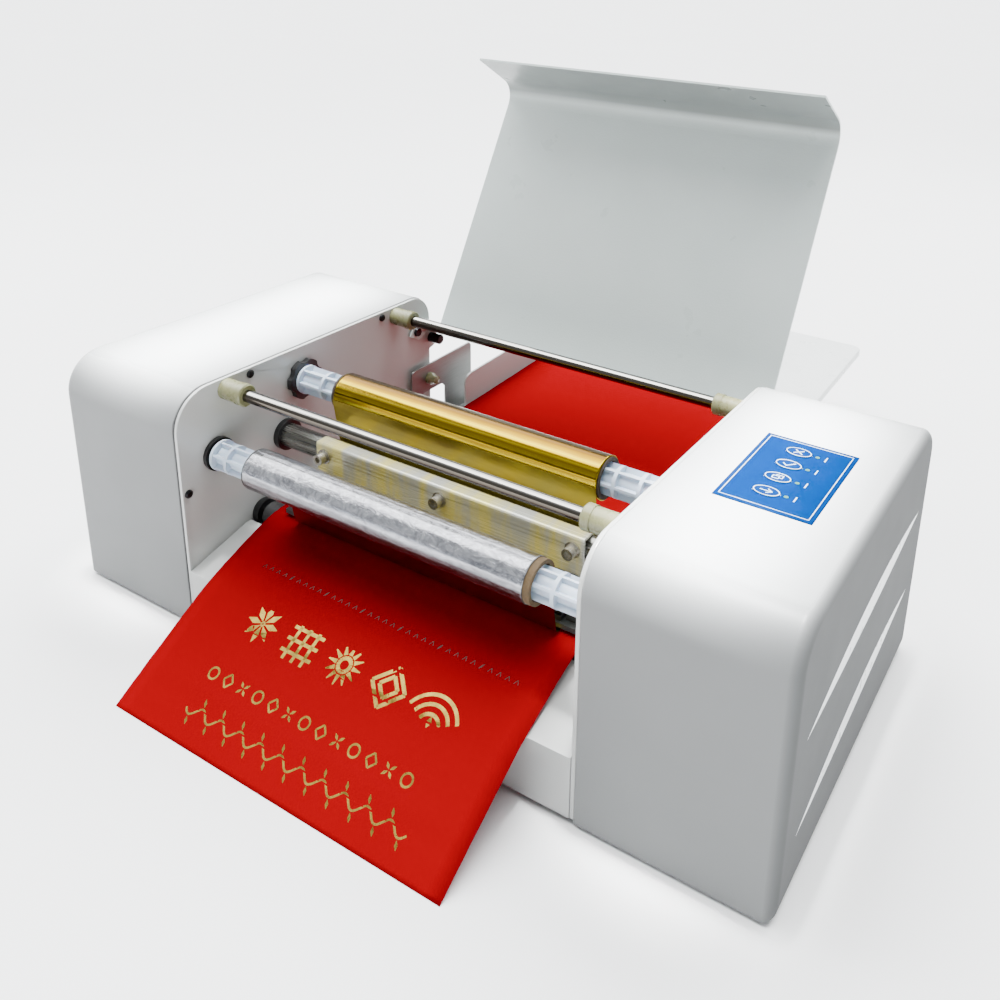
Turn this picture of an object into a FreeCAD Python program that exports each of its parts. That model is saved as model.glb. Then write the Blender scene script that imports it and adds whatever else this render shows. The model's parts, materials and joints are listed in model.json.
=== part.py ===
import FreeCAD, Part
import math
import os
import re

import Sketcher
from FreeCAD import Placement, Rotation, Vector

# A desktop foil stamping printer: two housings joined by tie rods carry the foil rolls, the heated
# head, the platen roller and a lid that swings up; a feed tray hooks on behind. Millimetres, X to
# the right, Y to the back, Z up. The origin is the middle of the footprint, on the table.
# "front" is the Y of the housings' front faces, so a place is written as front + its depth.

DIM = {
    "front": -303, "depth": 296, "height": 202, "half_gap": 177, "half_width": 314.5,
    "plate": 3, "wall": 3, "foot_height": 3, "front_round": 32, "rear_round": 25,
    "edge_round": 8, "heel_round": 10, "base_top": 5, "rim": 14, "seam": 0.2,
    "rod_round": 5, "rod_height": 192, "front_rod": 49, "rear_rod": 246,
    "front_bush": 9.1, "rear_bush": 8.8, "front_bush_length": 24, "rear_bush_length": 23,
    "supply_depth": 127.1, "supply_height": 172.5, "takeup_depth": 35.2, "takeup_height": 141.7,
    "core_bore": 12.7, "core_round": 15.6, "supply_round": 16.8, "takeup_round": 16.4,
    "foil_half": 125, "shaft_depth": 105, "shaft_height": 129, "shaft_round": 10,
    "platen_depth": 75, "platen_height": 70, "platen_round": 10.5, "platen_shaft": 4,
    "hinge_depth": 273, "hinge_height": 167.8, "lid_half": 176, "lid_sheet": 2,
    "lid_open": 119, "lid_rise": 35.4, "lid_reach": 274.1, "lid_lip": 31.8, "lid_bend": 20.8,
    "stop_depth": 297, "stop_height": 154, "stop_round": 5,
    "tray_front": 300, "tray_level": 72.6, "tray_half": 153.5, "tray_length": 394.29,
    "tray_thick": 7, "tray_slope": 2.2, "bracket_half": 173,
    "panel_left": 214.7, "panel_right": 281.9, "panel_front": 102.6, "panel_back": 203.2,
    "key_column": 243.7, "key_first": 124.5, "key_pitch": 20.6, "lamp_column": 257.1,
    "bearing_bore": 5.05, "bearing_round": 9, "drive_near": 192, "drive_far": 199,
    "motor_face": 206, "motor_size": 42.3, "motor_length": 40,
}

doc = FreeCAD.newDocument("hot_foil_stamper")
sizes = doc.addObject("Spreadsheet::Sheet", "Sizes")
for row, (alias, number) in enumerate(DIM.items(), 1):
    sizes.set(f"A{row}", alias)
    sizes.set(f"B{row}", str(number))
    sizes.setAlias(f"B{row}", alias)
doc.recompute()

parts = {}
SIDES = {"left": -1, "right": 1}


# ---- expressions bound to the sheet ----

def expression(text):
    word = re.compile(r"[a-z_]+")
    return word.sub(lambda m: "Sizes." + m.group() if m.group() in DIM else m.group(), str(text))


def value(text):
    return float(sizes.evalExpression(expression(text)))


def bind(thing, prop, text):
    thing.setExpression(prop, expression(text))


def place(thing, x, y, z, turn=None):
    thing.Placement = Placement(Vector(value(x), value(y), value(z)), turn or Rotation())
    for axis, text in zip("xyz", (x, y, z)):
        bind(thing, "Placement.Base." + axis, text)
    return thing


def part(name, thing):
    """Registers a finished sub-part under its own label."""
    thing.Label = name
    parts[name] = thing
    return thing


# ---- primitives and booleans ----

def block(name, x, y, z, length, width, height):
    solid = doc.addObject("Part::Box", name)
    for prop, text in (("Length", length), ("Width", width), ("Height", height)):
        bind(solid, prop, text)
    return place(solid, x, y, z)


TURNS = {"x": Rotation(Vector(0, 1, 0), 90), "y": Rotation(Vector(1, 0, 0), -90), "z": Rotation()}


def rod(name, along, x, y, z, radius, length):
    solid = doc.addObject("Part::Cylinder", name)
    bind(solid, "Radius", radius)
    bind(solid, "Height", length)
    return place(solid, x, y, z, TURNS[along])


def cut(name, base, tools):
    made = doc.addObject("Part::Cut", name)
    made.Base = base
    made.Tool = tools[0] if len(tools) == 1 else fuse(name + "_tools", tools)
    return made


def fuse(name, solids):
    made = doc.addObject("Part::MultiFuse", name)
    made.Shapes = solids
    return made


def group(name, solids):
    """Identical or matching pieces that share one node as separate solids."""
    made = doc.addObject("Part::Compound", name)
    made.Links = solids
    return made


# ---- bodies made from sketches ----

def body(name):
    return doc.addObject("PartDesign::Body", name)


def drawing_on(made, name, role, offset):
    sketch = made.newObject("Sketcher::SketchObject", name)
    plane = next(f for f in made.Origin.OriginFeatures if f.Role == role)
    sketch.AttachmentSupport = [(plane, "")]
    sketch.MapMode = "FlatFace"
    bind(sketch, "AttachmentOffset.Base.z", offset)
    return sketch


def tie(sketch, kind, *where):
    """Adds one dimension to a sketch and binds it to the sheet."""
    *ends, text = where
    index = sketch.addConstraint(Sketcher.Constraint(kind, *ends, value(text)))
    sketch.setExpression(f"Constraints[{index}]", expression(text))


def outline(made, name, role, points, offset="0"):
    """A closed polygon whose corners are tied to the sheet."""
    sketch = drawing_on(made, name, role, offset)
    corners = [Vector(value(u), value(v), 0) for u, v in points]
    count = len(corners)
    for i, corner in enumerate(corners):
        sketch.addGeometry(Part.LineSegment(corner, corners[(i + 1) % count]), False)
    for i in range(count):
        sketch.addConstraint(Sketcher.Constraint("Coincident", i, 2, (i + 1) % count, 1))
    for i, (u, v) in enumerate(points):
        tie(sketch, "DistanceX", -1, 1, i, 1, u)
        tie(sketch, "DistanceY", -1, 1, i, 1, v)
    return sketch


def circles(made, name, role, holes, offset="0"):
    """Circles (u, v, radius), tied to the sheet."""
    sketch = drawing_on(made, name, role, offset)
    for i, (u, v, radius) in enumerate(holes):
        centre = Vector(value(u), value(v), 0)
        sketch.addGeometry(Part.Circle(centre, Vector(0, 0, 1), value(radius)), False)
        tie(sketch, "DistanceX", -1, 1, i, 3, u)
        tie(sketch, "DistanceY", -1, 1, i, 3, v)
        tie(sketch, "Radius", i, radius)
    return sketch


def pad(made, name, sketch, length):
    feature = made.newObject("PartDesign::Pad", name)
    feature.Profile = sketch
    bind(feature, "Length", length)
    doc.recompute()
    return feature


def pocket(made, name, sketch, length, back=False):
    """Cuts against the sketch's normal, or along it when back is set."""
    before = made.Shape.Volume
    feature = made.newObject("PartDesign::Pocket", name)
    feature.Profile = sketch
    feature.Reversed = back
    bind(feature, "Length", length)
    doc.recompute()
    if made.Shape.Volume >= before - 0.01:
        raise RuntimeError(name + " cuts nothing")
    return feature


def fillet(made, name, radius, wanted):
    """Rounds the edges of the body's last feature that the test accepts."""
    base = made.Tip
    found = [f"Edge{i + 1}" for i, edge in enumerate(base.Shape.Edges) if wanted(edge)]
    feature = made.newObject("PartDesign::Fillet", name)
    feature.Base = (base, found)
    bind(feature, "Radius", radius)
    doc.recompute()
    if not found or not feature.isValid():
        raise RuntimeError(name + " rounds nothing")
    return feature


def along(edge, axis):
    """True for a straight edge parallel to the axis."""
    if not isinstance(edge.Curve, Part.Line):
        return False
    return abs(abs(edge.Curve.Direction.dot(axis)) - 1) < 1e-6


X_AXIS, Z_AXIS = Vector(1, 0, 0), Vector(0, 0, 1)


def sheet_metal(name, points, start, length):
    """A bent sheet: a profile in the YZ plane padded along X."""
    made = body(name)
    pad(made, name + "_pad", outline(made, name + "_profile", "YZ_Plane", points, start), length)
    return made


def turned(name, profile, y, z):
    """A piece turned about an axis along X; the profile is (x, radius)."""
    made = body(name)
    sketch = outline(made, name + "_profile", "XY_Plane", profile)
    feature = made.newObject("PartDesign::Revolution", name + "_turn")
    feature.Profile = sketch
    feature.ReferenceAxis = (sketch, ["H_Axis"])
    feature.Angle = 360
    doc.recompute()
    return place(made, "0", y, z)


def ring(name, start, end, inner, outer, y, z):
    profile = [(start, inner), (end, inner), (end, outer), (start, outer)]
    return turned(name, profile, y, z)


def shaped(name, shape):
    """A free-form shape whose sizes come from the sheet through DIM."""
    made = doc.addObject("Part::Feature", name)
    made.Shape = shape
    return made


def depth(text):
    return f"front + {text}"


# ---- frame: chassis, side plates, covers ----

def side_x(side, near, far):
    """The low and high X of a stretch between two distances from the middle."""
    return (f"-({far})", f"-({near})") if side < 0 else (near, far)


def base_chassis():
    made = body("base_chassis_body")
    corners = [("-half_width + wall + 0.5", depth("wall + 0.5")),
               ("half_width - wall - 0.5", depth("wall + 0.5")),
               ("half_width - wall - 0.5", depth("depth - heel_round - 0.5")),
               ("-half_width + wall + 0.5", depth("depth - heel_round - 0.5"))]
    profile = outline(made, "base_profile", "XY_Plane", corners, "foot_height")
    pad(made, "base_pad", profile, "base_top - foot_height")
    fillet(made, "base_corner_round", "edge_round - wall + 1.5", lambda e: along(e, Z_AXIS))
    slots = []
    for side in (-1, 1):
        for i in range(6):
            left, right = side_x(side, "half_gap + 35", "half_gap + 95")
            front_edge = depth(f"95 + {i * 16}")
            back_edge = depth(f"101 + {i * 16}")
            slots.append([(left, front_edge), (right, front_edge), (right, back_edge), (left, back_edge)])
    for i, slot in enumerate(slots):
        vent = outline(made, f"base_vent_{i}", "XY_Plane", slot, "base_top")
        pocket(made, f"base_vent_cut_{i}", vent, "base_top - foot_height")
    part("base_chassis", made)


PLATE_SCREWS = [("227.5", "195.9"), ("72.8", "195.9"), ("5.9", "119.1"), ("276", "45"), ("5.9", "30")]


def plate_outline():
    """The housing's side view, set in by 0.8, with the lid's tab behind."""
    return [(depth("0.8"), "base_top"), (depth("0.8"), "height - 0.8"),
            (depth("depth - 0.8"), "height - 0.8"),
            (depth("depth - 0.8"), "stop_height + 14"), (depth("stop_depth + 9"), "stop_height + 9"),
            (depth("stop_depth + 9"), "stop_height - 9"), (depth("depth - 0.8"), "stop_height - 12"),
            (depth("depth - 0.8"), "base_top")]


def side_plate(name, side):
    made = body(name + "_body")
    start, end = side_x(side, "half_gap", "half_gap + plate")
    pad(made, name + "_pad", outline(made, name + "_outline", "YZ_Plane", plate_outline(), start), "plate")
    for corner, radius in (("front", "front_round"), ("rear", "rear_round")):
        at = value(depth("0.8") if corner == "front" else depth("depth - 0.8"))
        top = value("height - 0.8")
        fillet(made, f"{name}_{corner}_round", radius, lambda e: along(e, X_AXIS)
               and abs(e.CenterOfMass.y - at) < 0.1 and abs(e.CenterOfMass.z - top) < 0.1)
    tab = value(depth("stop_depth + 9"))
    fillet(made, name + "_tab_round", "6", lambda e: along(e, X_AXIS) and abs(e.CenterOfMass.y - tab) < 0.1)
    holes = [(depth(y), z, "2") for y, z in PLATE_SCREWS]
    holes += [(depth("shaft_depth"), "shaft_height", "12"), (depth("platen_depth"), "platen_height", "8"),
              (depth("hinge_depth"), "hinge_height", "3"), (depth("stop_depth"), "stop_height", "2.5"),
              (depth("286.5"), "114.6", "2.9"), (depth("267"), "92", "2")]
    roll = "bearing_round" if side < 0 else "10.05"
    holes += [(depth("supply_depth"), "supply_height", roll), (depth("takeup_depth"), "takeup_height", roll)]
    cuts = circles(made, name + "_holes", "YZ_Plane", holes, end)
    pocket(made, name + "_bores", cuts, "plate")
    part(name, made)


def cover(name, side):
    made = body(name + "_body")
    start, end = side_x(side, "half_gap + plate + seam", "half_width")
    corners = [(depth("0"), "foot_height"), (depth("0"), "height"), (depth("depth"), "height"),
               (depth("depth"), "foot_height")]
    blank = outline(made, name + "_outline", "YZ_Plane", corners, start)
    pad(made, name + "_pad", blank, "half_width - half_gap - plate - seam")
    rounds = (("front", "0", "height", "front_round"), ("rear", "depth", "height", "rear_round"),
              ("heel", "depth", "foot_height", "heel_round"))
    for corner, y, z, radius in rounds:
        at_y, at_z = value(depth(y)), value(z)
        fillet(made, f"{name}_{corner}_round", radius, lambda e: along(e, X_AXIS)
               and abs(e.CenterOfMass.y - at_y) < 0.1 and abs(e.CenterOfMass.z - at_z) < 0.1)
    outer = value("half_width") * side
    inner = value("half_gap + plate + seam") * side
    low = value("foot_height") + 0.1
    fillet(made, name + "_outer_round", "edge_round", lambda e: abs(e.BoundBox.XMin - outer) < 0.01
           and abs(e.BoundBox.XMax - outer) < 0.01 and e.BoundBox.ZMax > low)
    subtract(made, name + "_hollow", cavity(name, side, start if side > 0 else end))
    fillet(made, name + "_inner_round", "1.2", lambda e: abs(e.BoundBox.XMin - inner) < 0.01
           and abs(e.BoundBox.XMax - inner) < 0.01 and e.BoundBox.ZMax > low)
    sill = "base_top + 0.3"
    window = [(depth("wall + 0.2"), "0"), (depth("wall + 0.2"), sill), (depth("rim"), sill),
              (depth("rim"), "height - rim - 24"), (depth("rim + 24"), "height - rim"),
              (depth("depth - rim - 18"), "height - rim"), (depth("depth - rim"), "height - rim - 18"),
              (depth("depth - rim"), sill), (depth("depth - heel_round"), sill),
              (depth("depth - heel_round"), "0")]
    opening = outline(made, name + "_window", "YZ_Plane", window, start if side > 0 else end)
    pocket(made, name + "_window_cut", opening, "wall + 2", side > 0)
    holes = circles(made, name + "_screw_holes", "YZ_Plane",
                    [(depth(y), z, "2") for y, z in PLATE_SCREWS], start if side > 0 else end)
    pocket(made, name + "_screw_bores", holes, "wall + 2", side > 0)
    grooves(made, name, side, end if side > 0 else start)
    if side > 0:
        keypad_recess(made)
        rear_sockets(made)
    part(name, made)


def cavity(name, side, inner_face):
    """The hollow behind a cover's inner flange, open downwards."""
    made = body(name + "_cavity_body")
    heel = "foot_height + heel_round"
    corners = [(depth("wall"), "foot_height - 1"), (depth("wall"), "height - wall"),
               (depth("depth - wall"), "height - wall"), (depth("depth - wall"), heel),
               (depth("depth - heel_round"), "foot_height + wall"),
               (depth("depth - heel_round"), "foot_height - 1")]
    near = f"{inner_face} + {side} * wall"
    start = near if side > 0 else "-half_width + wall"
    length = "half_width - half_gap - plate - seam - 2 * wall"
    pad(made, name + "_cavity", outline(made, name + "_cavity_outline", "YZ_Plane", corners, start), length)
    roof = value("height - wall")
    inner_rounds = (("front", "wall", "front_round - wall"), ("rear", "depth - wall", "rear_round - wall"))
    for corner, y, radius in inner_rounds:
        at_y = value(depth(y))
        fillet(made, f"{name}_{corner}_cove", radius, lambda e: along(e, X_AXIS)
               and abs(e.CenterOfMass.y - at_y) < 0.1 and abs(e.CenterOfMass.z - roof) < 0.1)
    far = side * value("half_width - wall")
    heel_top = value(heel) + 0.1
    fillet(made, name + "_outer_cove", "edge_round - wall", lambda e: abs(e.BoundBox.XMin - far) < 0.01
           and abs(e.BoundBox.XMax - far) < 0.01 and e.BoundBox.ZMax > heel_top)
    return made


def subtract(made, name, tool):
    """Cuts another body out of this one."""
    before = made.Shape.Volume
    feature = made.newObject("PartDesign::Boolean", name)
    feature.Type = "Cut"
    feature.setObjects([tool])
    doc.recompute()
    if made.Shape.Volume > before / 2:
        raise RuntimeError(name + " is not hollow")


GROOVES = [("272.6", "136", "26.5", "116.3"), ("266.4", "70.5", "26.9", "46.7")]


def grooves(made, name, side, face):
    """Two slim leaf-shaped grooves in the outer wall, each between two arcs."""
    for i, (rear, rear_z, near, near_z) in enumerate(GROOVES):
        sketch = drawing_on(made, f"{name}_groove_{i}", "YZ_Plane", face)
        tips = [Vector(value(depth(rear)), value(rear_z), 0), Vector(value(depth(near)), value(near_z), 0)]
        middle = (tips[0] + tips[1]) * 0.5
        for bulge, ends in ((11, tips), (-5, tips[::-1])):
            crown = middle + Vector(-12, bulge, 0)
            sketch.addGeometry(Part.Arc(ends[0], crown, ends[1]), False)
        sketch.addConstraint(Sketcher.Constraint("Block", 0))
        sketch.addConstraint(Sketcher.Constraint("Block", 1))
        pocket(made, f"{name}_groove_cut_{i}", sketch, "wall - 1.2", side < 0)


def keypad_recess(made):
    """The shallow seat of the keypad and the holes under its keys and lamps."""
    corners = [("panel_left", depth("panel_front")), ("panel_right", depth("panel_front")),
               ("panel_right", depth("panel_back")), ("panel_left", depth("panel_back"))]
    pocket(made, "keypad_seat", outline(made, "keypad_seat_outline", "XY_Plane", corners, "height"), "1")
    holes = []
    for i in range(4):
        row_depth = depth(f"key_first + {i} * key_pitch")
        holes += [("key_column", row_depth, "3.4"), ("lamp_column", row_depth, "1.5")]
    face = circles(made, "keypad_hole_circles", "XY_Plane", holes, "height")
    pocket(made, "keypad_holes", face, "wall + 1")


def rear_sockets(made):
    """Openings in the rear wall for the inlet, the switch and the data socket."""
    boxes = [("half_gap + 30", "half_gap + 57.6", "30", "50"), ("half_gap + 66", "half_gap + 85", "33", "46"),
             ("half_gap + 100", "half_gap + 112.4", "30", "41.4")]
    for i, (left, right, low, high) in enumerate(boxes):
        corners = [(left, low), (right, low), (right, high), (left, high)]
        sketch = outline(made, f"rear_socket_{i}", "XZ_Plane", corners, "-(front + depth)")
        pocket(made, f"rear_socket_cut_{i}", sketch, "wall + 1", True)


def fasteners():
    screws, feet = [], []
    for name, side in SIDES.items():
        for i, (y, z) in enumerate(PLATE_SCREWS):
            near = f"{side} * half_gap"
            profile = [(f"{near} - {side} * 2", "0"), (f"{near} + {side} * 7", "0"),
                       (f"{near} + {side} * 7", "2"),
                       (near, "2"), (near, "3.5"), (f"{near} - {side} * 1.2", "3.3"),
                       (f"{near} - {side} * 2", "2.2")]
            screws.append(turned(f"cover_screw_{name}_{i}", profile, depth(y), z))
        for i, y in enumerate(("25", "270")):
            foot = rod(f"foot_{name}_{i}", "z", f"{side} * 285", depth(y), "0", "11", "foot_height")
            feet.append(foot)
    part("cover_screws", group("cover_screw_group", screws))
    part("rubber_feet", group("feet_group", feet))


def tie_rods():
    bars, bushes = [], []
    rods = (("front", "front_rod", "front_bush", "front_bush_length"),
            ("rear", "rear_rod", "rear_bush", "rear_bush_length"))
    for name, at, bush, length in rods:
        bar = rod(name + "_bar", "x", "-half_gap", depth(at), "rod_height", "rod_round", "2 * half_gap")
        bars.append(bar)
        for end, side in SIDES.items():
            far, near = f"{side} * half_gap", f"{side} * (half_gap - {length})"
            profile = [(far, "rod_round"), (near, "rod_round"), (near, f"{bush} - 1"),
                       (f"{near} + {side} * 1", bush), (f"{near} + {side} * 7", bush),
                       (f"{near} + {side} * 7", f"{bush} - 0.6"), (far, f"{bush} - 0.6")]
            bushes.append(turned(f"{name}_bush_{end}", profile, depth(at), "rod_height"))
    part("tie_rods", group("tie_rod_pair", bars))
    part("tie_rod_bushes", group("bush_group", bushes))


# ---- paper path ----

def front_fascia():
    points = [(depth("0.2"), "base_top"), (depth("0.2"), "52.6"), (depth("56"), "67.5"),
              (depth("62"), "67.5"),
              (depth("62"), "65.5"), (depth("56.4"), "65.5"), (depth("2.2"), "51"),
              (depth("2.2"), "base_top")]
    made = sheet_metal("fascia_body", points, "-half_gap + 0.3", "2 * half_gap - 0.6")
    part("front_fascia", made)


def paper_bed():
    points = [(depth("89"), "62"), (depth("89"), "70"), (depth("285"), "70"), (depth("285"), "base_top"),
              (depth("283"), "base_top"), (depth("283"), "68"), (depth("91"), "68"), (depth("91"), "62")]
    part("paper_bed", sheet_metal("paper_bed_body", points, "-half_gap + 0.3", "2 * half_gap - 0.6"))


SHEET_PATH = [(-88, 0.1), (-59, 19), (-29, 37.5), (0, 54.2), (27, 66), (52, 75.6), (64, 79.3), (75, 80.9),
              (88, 81), (102, 80.8), (150, 79.4), (220, 76.9), (300, 74.2), (324, 74.7), (400, 77.3),
              (487, 80.7)]
SHEET_THICK = 0.3


def at_depth(d):
    return DIM["front"] + d


def strip(points, thick, left, right):
    """A thin web or sheet that follows a smooth line in the YZ plane."""
    lower = [Vector(left, at_depth(d), z) for d, z in points]
    upper = []
    for i, here in enumerate(lower):
        before, after = lower[max(i - 1, 0)], lower[min(i + 1, len(lower) - 1)]
        run = (after - before).normalize()
        upper.append(here + Vector(0, -run.z, run.y) * thick)
    edges = []
    for line in (lower, upper[::-1]):
        curve = Part.BSplineCurve()
        curve.interpolate(line)
        edges.append(curve.toShape())
    sides = [Part.makeLine(lower[-1], upper[-1]), Part.makeLine(upper[0], lower[0])]
    wire = Part.Wire([edges[0], sides[0], edges[1], sides[1]])
    return Part.Face(wire).extrude(Vector(right - left, 0, 0))


def printed_sheet():
    part("printed_sheet", shaped("sheet_solid", strip(SHEET_PATH, SHEET_THICK, -153, 144)))


def feed_tray():
    made = body("tray_body")
    corners = [("-tray_half", "0"), ("tray_half", "0"), ("tray_half", "tray_length"),
               ("-tray_half", "tray_length")]
    pad(made, "tray_pad", outline(made, "tray_outline", "XY_Plane", corners), "tray_thick")
    fillet(made, "tray_corner_round", "12", lambda e: along(e, Z_AXIS))
    top = value("tray_thick")
    fillet(made, "tray_edge_round", "1.5", lambda e: abs(e.BoundBox.ZMin - top) < 0.01)
    level = Rotation(X_AXIS, value("tray_slope"))
    part("feed_tray", place(made, "0", depth("tray_front"), "tray_level - tray_thick", level))


def tray_bracket(name, side):
    """A bent plate: an upright web with an arch, and a foot under the tray."""
    made = body(name)
    points = [(depth("261"), "86"), (depth("261"), "127"), (depth("264"), "129"), (depth("352"), "131"),
              (depth("355"), "128"), (depth("355"), "64"), (depth("312"), "62.3"), (depth("312"), "96"),
              (depth("307"), "101"), (depth("278"), "101"), (depth("273"), "96"), (depth("273"), "86")]
    near_x = side_x(side, "bracket_half - 2", "bracket_half")[0]
    web = outline(made, name + "_web_outline", "YZ_Plane", points, near_x)
    pad(made, name + "_web", web, "2")
    holes = [(depth("286.5"), "114.6", "3.2")]
    end = side_x(side, "bracket_half - 2", "bracket_half")[1]
    pocket(made, name + "_hole", circles(made, name + "_hole_circle", "YZ_Plane", holes, end), "2")
    slot = [(depth("262.5"), "80"), (depth("273"), "80"), (depth("269.6"), "94.6"), (depth("264.2"), "94.6")]
    pocket(made, name + "_slot", outline(made, name + "_slot_outline", "YZ_Plane", slot, end), "2")
    left, right = side_x(side, "bracket_half - 40", "bracket_half - 2")
    foot = [(depth("314"), "61.4"), (depth("355"), "63"), (depth("355"), "65"), (depth("314"), "63.4")]
    foot_sketch = outline(made, name + "_foot_outline", "YZ_Plane", foot, left)
    pad(made, name + "_foot", foot_sketch, "38")
    return made


def tray_fittings():
    brackets = [tray_bracket(f"tray_bracket_{name}", side) for name, side in SIDES.items()]
    part("tray_brackets", group("bracket_pair", brackets))
    knobs, pins = [], []
    for name, side in SIDES.items():
        plate_face, web = f"{side} * half_gap", f"{side} * bracket_half"
        profile = [(f"{plate_face} + {side} * 2.9", "0"), (f"{plate_face} + {side} * 2.9", "2.9"),
                   (plate_face, "2.9"), (plate_face, "5.5"), (web, "5.5"), (web, "3.2"),
                   (f"{web} - {side} * 2", "3.2"), (f"{web} - {side} * 2", "6"), (f"{web} - {side} * 6", "6"),
                   (f"{web} - {side} * 9", "4"), (f"{web} - {side} * 12", "4"), (f"{web} - {side} * 13", "0")]
        knobs.append(turned(f"thumb_screw_{name}", profile, depth("286.5"), "114.6"))
        profile = [(f"{plate_face} + {side} * 3", "0"), (f"{plate_face} + {side} * 3", "2"),
                   (plate_face, "2"),
                   (plate_face, "2.4"), (f"{web} - {side} * 5", "2.4"), (f"{web} - {side} * 5", "0")]
        pins.append(turned(f"hook_pin_{name}", profile, depth("267"), "92"))
    part("tray_thumb_screws", group("thumb_screw_pair", knobs))
    return pins


def paper_guide():
    """The fence at the tray's left edge, which follows the tray's slope."""
    made = body("guide_body")
    points = [("24", "0"), ("24", "tray_thick + 34"), ("170", "tray_thick + 34"), ("170", "-4"), ("62", "-4"),
              ("62", "0")]
    fence = outline(made, "guide_outline", "YZ_Plane", points, "-tray_half - 2.2")
    pad(made, "guide_web", fence, "2")
    top = value("tray_thick + 34")
    fillet(made, "guide_round", "10", lambda e: along(e, X_AXIS) and abs(e.CenterOfMass.z - top) < 0.1)
    foot = [("62", "-4"), ("62", "-2"), ("170", "-2"), ("170", "-4")]
    pad(made, "guide_foot", outline(made, "guide_foot_outline", "YZ_Plane", foot, "-tray_half - 0.2"), "25")
    level = Rotation(X_AXIS, value("tray_slope"))
    part("paper_guide", place(made, "0", depth("tray_front"), "tray_level - tray_thick", level))


# ---- lid ----

def lid():
    """Drawn closed about its hinge line, then turned back by the opening angle."""
    made = body("lid_body")
    under, top = "lid_rise", "lid_rise + lid_sheet"
    nose = "-lid_reach"
    points = [(nose, "-lid_lip"), (nose, top), ("-5", top), ("-5", "4.5"), ("-5 - lid_sheet", "4.5"),
              ("-5 - lid_sheet", under), (f"{nose} + lid_sheet", under), (f"{nose} + lid_sheet", "-lid_lip")]
    profile = outline(made, "lid_profile", "YZ_Plane", points, "-lid_half")
    pad(made, "lid_pad", profile, "2 * lid_half")
    bends = (("nose_outer", nose, top, "lid_bend"),
             ("nose_inner", f"{nose} + lid_sheet", under, "lid_bend - lid_sheet"),
             ("heel_outer", "-5", top, "4"), ("heel_inner", "-5 - lid_sheet", under, "2"))
    for name, y, z, radius in bends:
        at_y, at_z = value(y), value(z)
        fillet(made, "lid_" + name, radius, lambda e: along(e, X_AXIS)
               and abs(e.CenterOfMass.y - at_y) < 0.05 and abs(e.CenterOfMass.z - at_z) < 0.05)
    ear = [("-7", "16"), ("-7", "-7"), ("7", "-7"), ("7", "7"), ("-5", "16")]
    for name, side in SIDES.items():
        start, end = side_x(side, "lid_half - 2", "lid_half")
        pad(made, f"lid_ear_{name}", outline(made, f"lid_ear_{name}_outline", "YZ_Plane", ear, start), "2")
        hole = circles(made, f"lid_ear_{name}_hole", "YZ_Plane", [("0", "0", "3.05")], end)
        pocket(made, f"lid_ear_{name}_bore", hole, "2")
    back = Rotation(X_AXIS, -value("lid_open"))
    part("lid_panel", place(made, "0", depth("hinge_depth"), "hinge_height", back))


def lid_hardware():
    pivots, posts = [], []
    for name, side in SIDES.items():
        far, near = f"{side} * (half_gap + plate)", f"{side} * (lid_half - 2.5)"
        profile = [(far, "0"), (far, "3"), (near, "3"), (near, "4.6"), (f"{near} - {side} * 2", "4"),
                   (f"{near} - {side} * 2", "0")]
        pivots.append(turned(f"lid_pivot_{name}", profile, depth("hinge_depth"), "hinge_height"))
        face, tip = f"{side} * half_gap", f"{side} * (half_gap - 13)"
        profile = [(far, "0"), (far, "2.5"), (face, "2.5"), (face, "stop_round"),
                   (f"{tip} + {side} * 0.8", "stop_round"), (tip, "stop_round - 0.8"), (tip, "0")]
        posts.append(turned(f"stop_post_{name}", profile, depth("stop_depth"), "stop_height"))
    return pivots + posts


# ---- foil rolls ----

FIN_COUNT, RING_PITCH, RING_WIDE = 6, 20, 2.8


def spindle(name, y, z, first_ring, lean):
    """A moulded plastic spindle: a tube with long fins and evenly spaced rings."""
    left, right = -171, 171.6
    pieces = [ring(name + "_tube", f"{left}", f"{right}", "6.4", "7.8", y, z),
              ring(name + "_collar", f"{left}", f"{left} + 2.4", "7", "12.6", y, z),
              ring(name + "_end", f"{right} - 3", f"{right}", "7", "12", y, z)]
    x = first_ring
    while x < right - 8:
        pieces.append(ring(f"{name}_ring_{len(pieces)}", f"{x}", f"{x + RING_WIDE}", "7", "12", y, z))
        x += RING_PITCH
    for i in range(FIN_COUNT):
        fin = doc.addObject("Part::Box", f"{name}_fin_{i}")
        fin.Length, fin.Width, fin.Height = right - left - 1, 1.8, 4.6
        turn = Rotation(X_AXIS, lean + 360 / FIN_COUNT * i)
        offset = turn.multVec(Vector(0, -0.9, 7.2))
        fin.Placement = Placement(Vector(left + 0.5, value(y), value(z)) + offset, turn)
        pieces.append(fin)
    return fuse(name, pieces)


NOTCH_OUT, NOTCH_ROUND = 5.5, "7.6"


def lobed(name, x, lobes, inner, outer, thick, y, z):
    """A disc whose rim has evenly spaced finger notches."""
    disc = ring(name + "_disc", x, f"{x} + {thick}", inner, outer, y, z)
    notches = []
    for i in range(lobes):
        angle = 2 * math.pi * (i + 0.5) / lobes
        reach = value(outer) + NOTCH_OUT
        y_text = f"{y} + {reach * math.cos(angle)}"
        z_text = f"{z} + {reach * math.sin(angle)}"
        notches.append(rod(f"{name}_notch_{i}", "x", f"{x} - 1", y_text, z_text, NOTCH_ROUND, f"{thick} + 2"))
    return cut(name, disc, notches)


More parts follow.
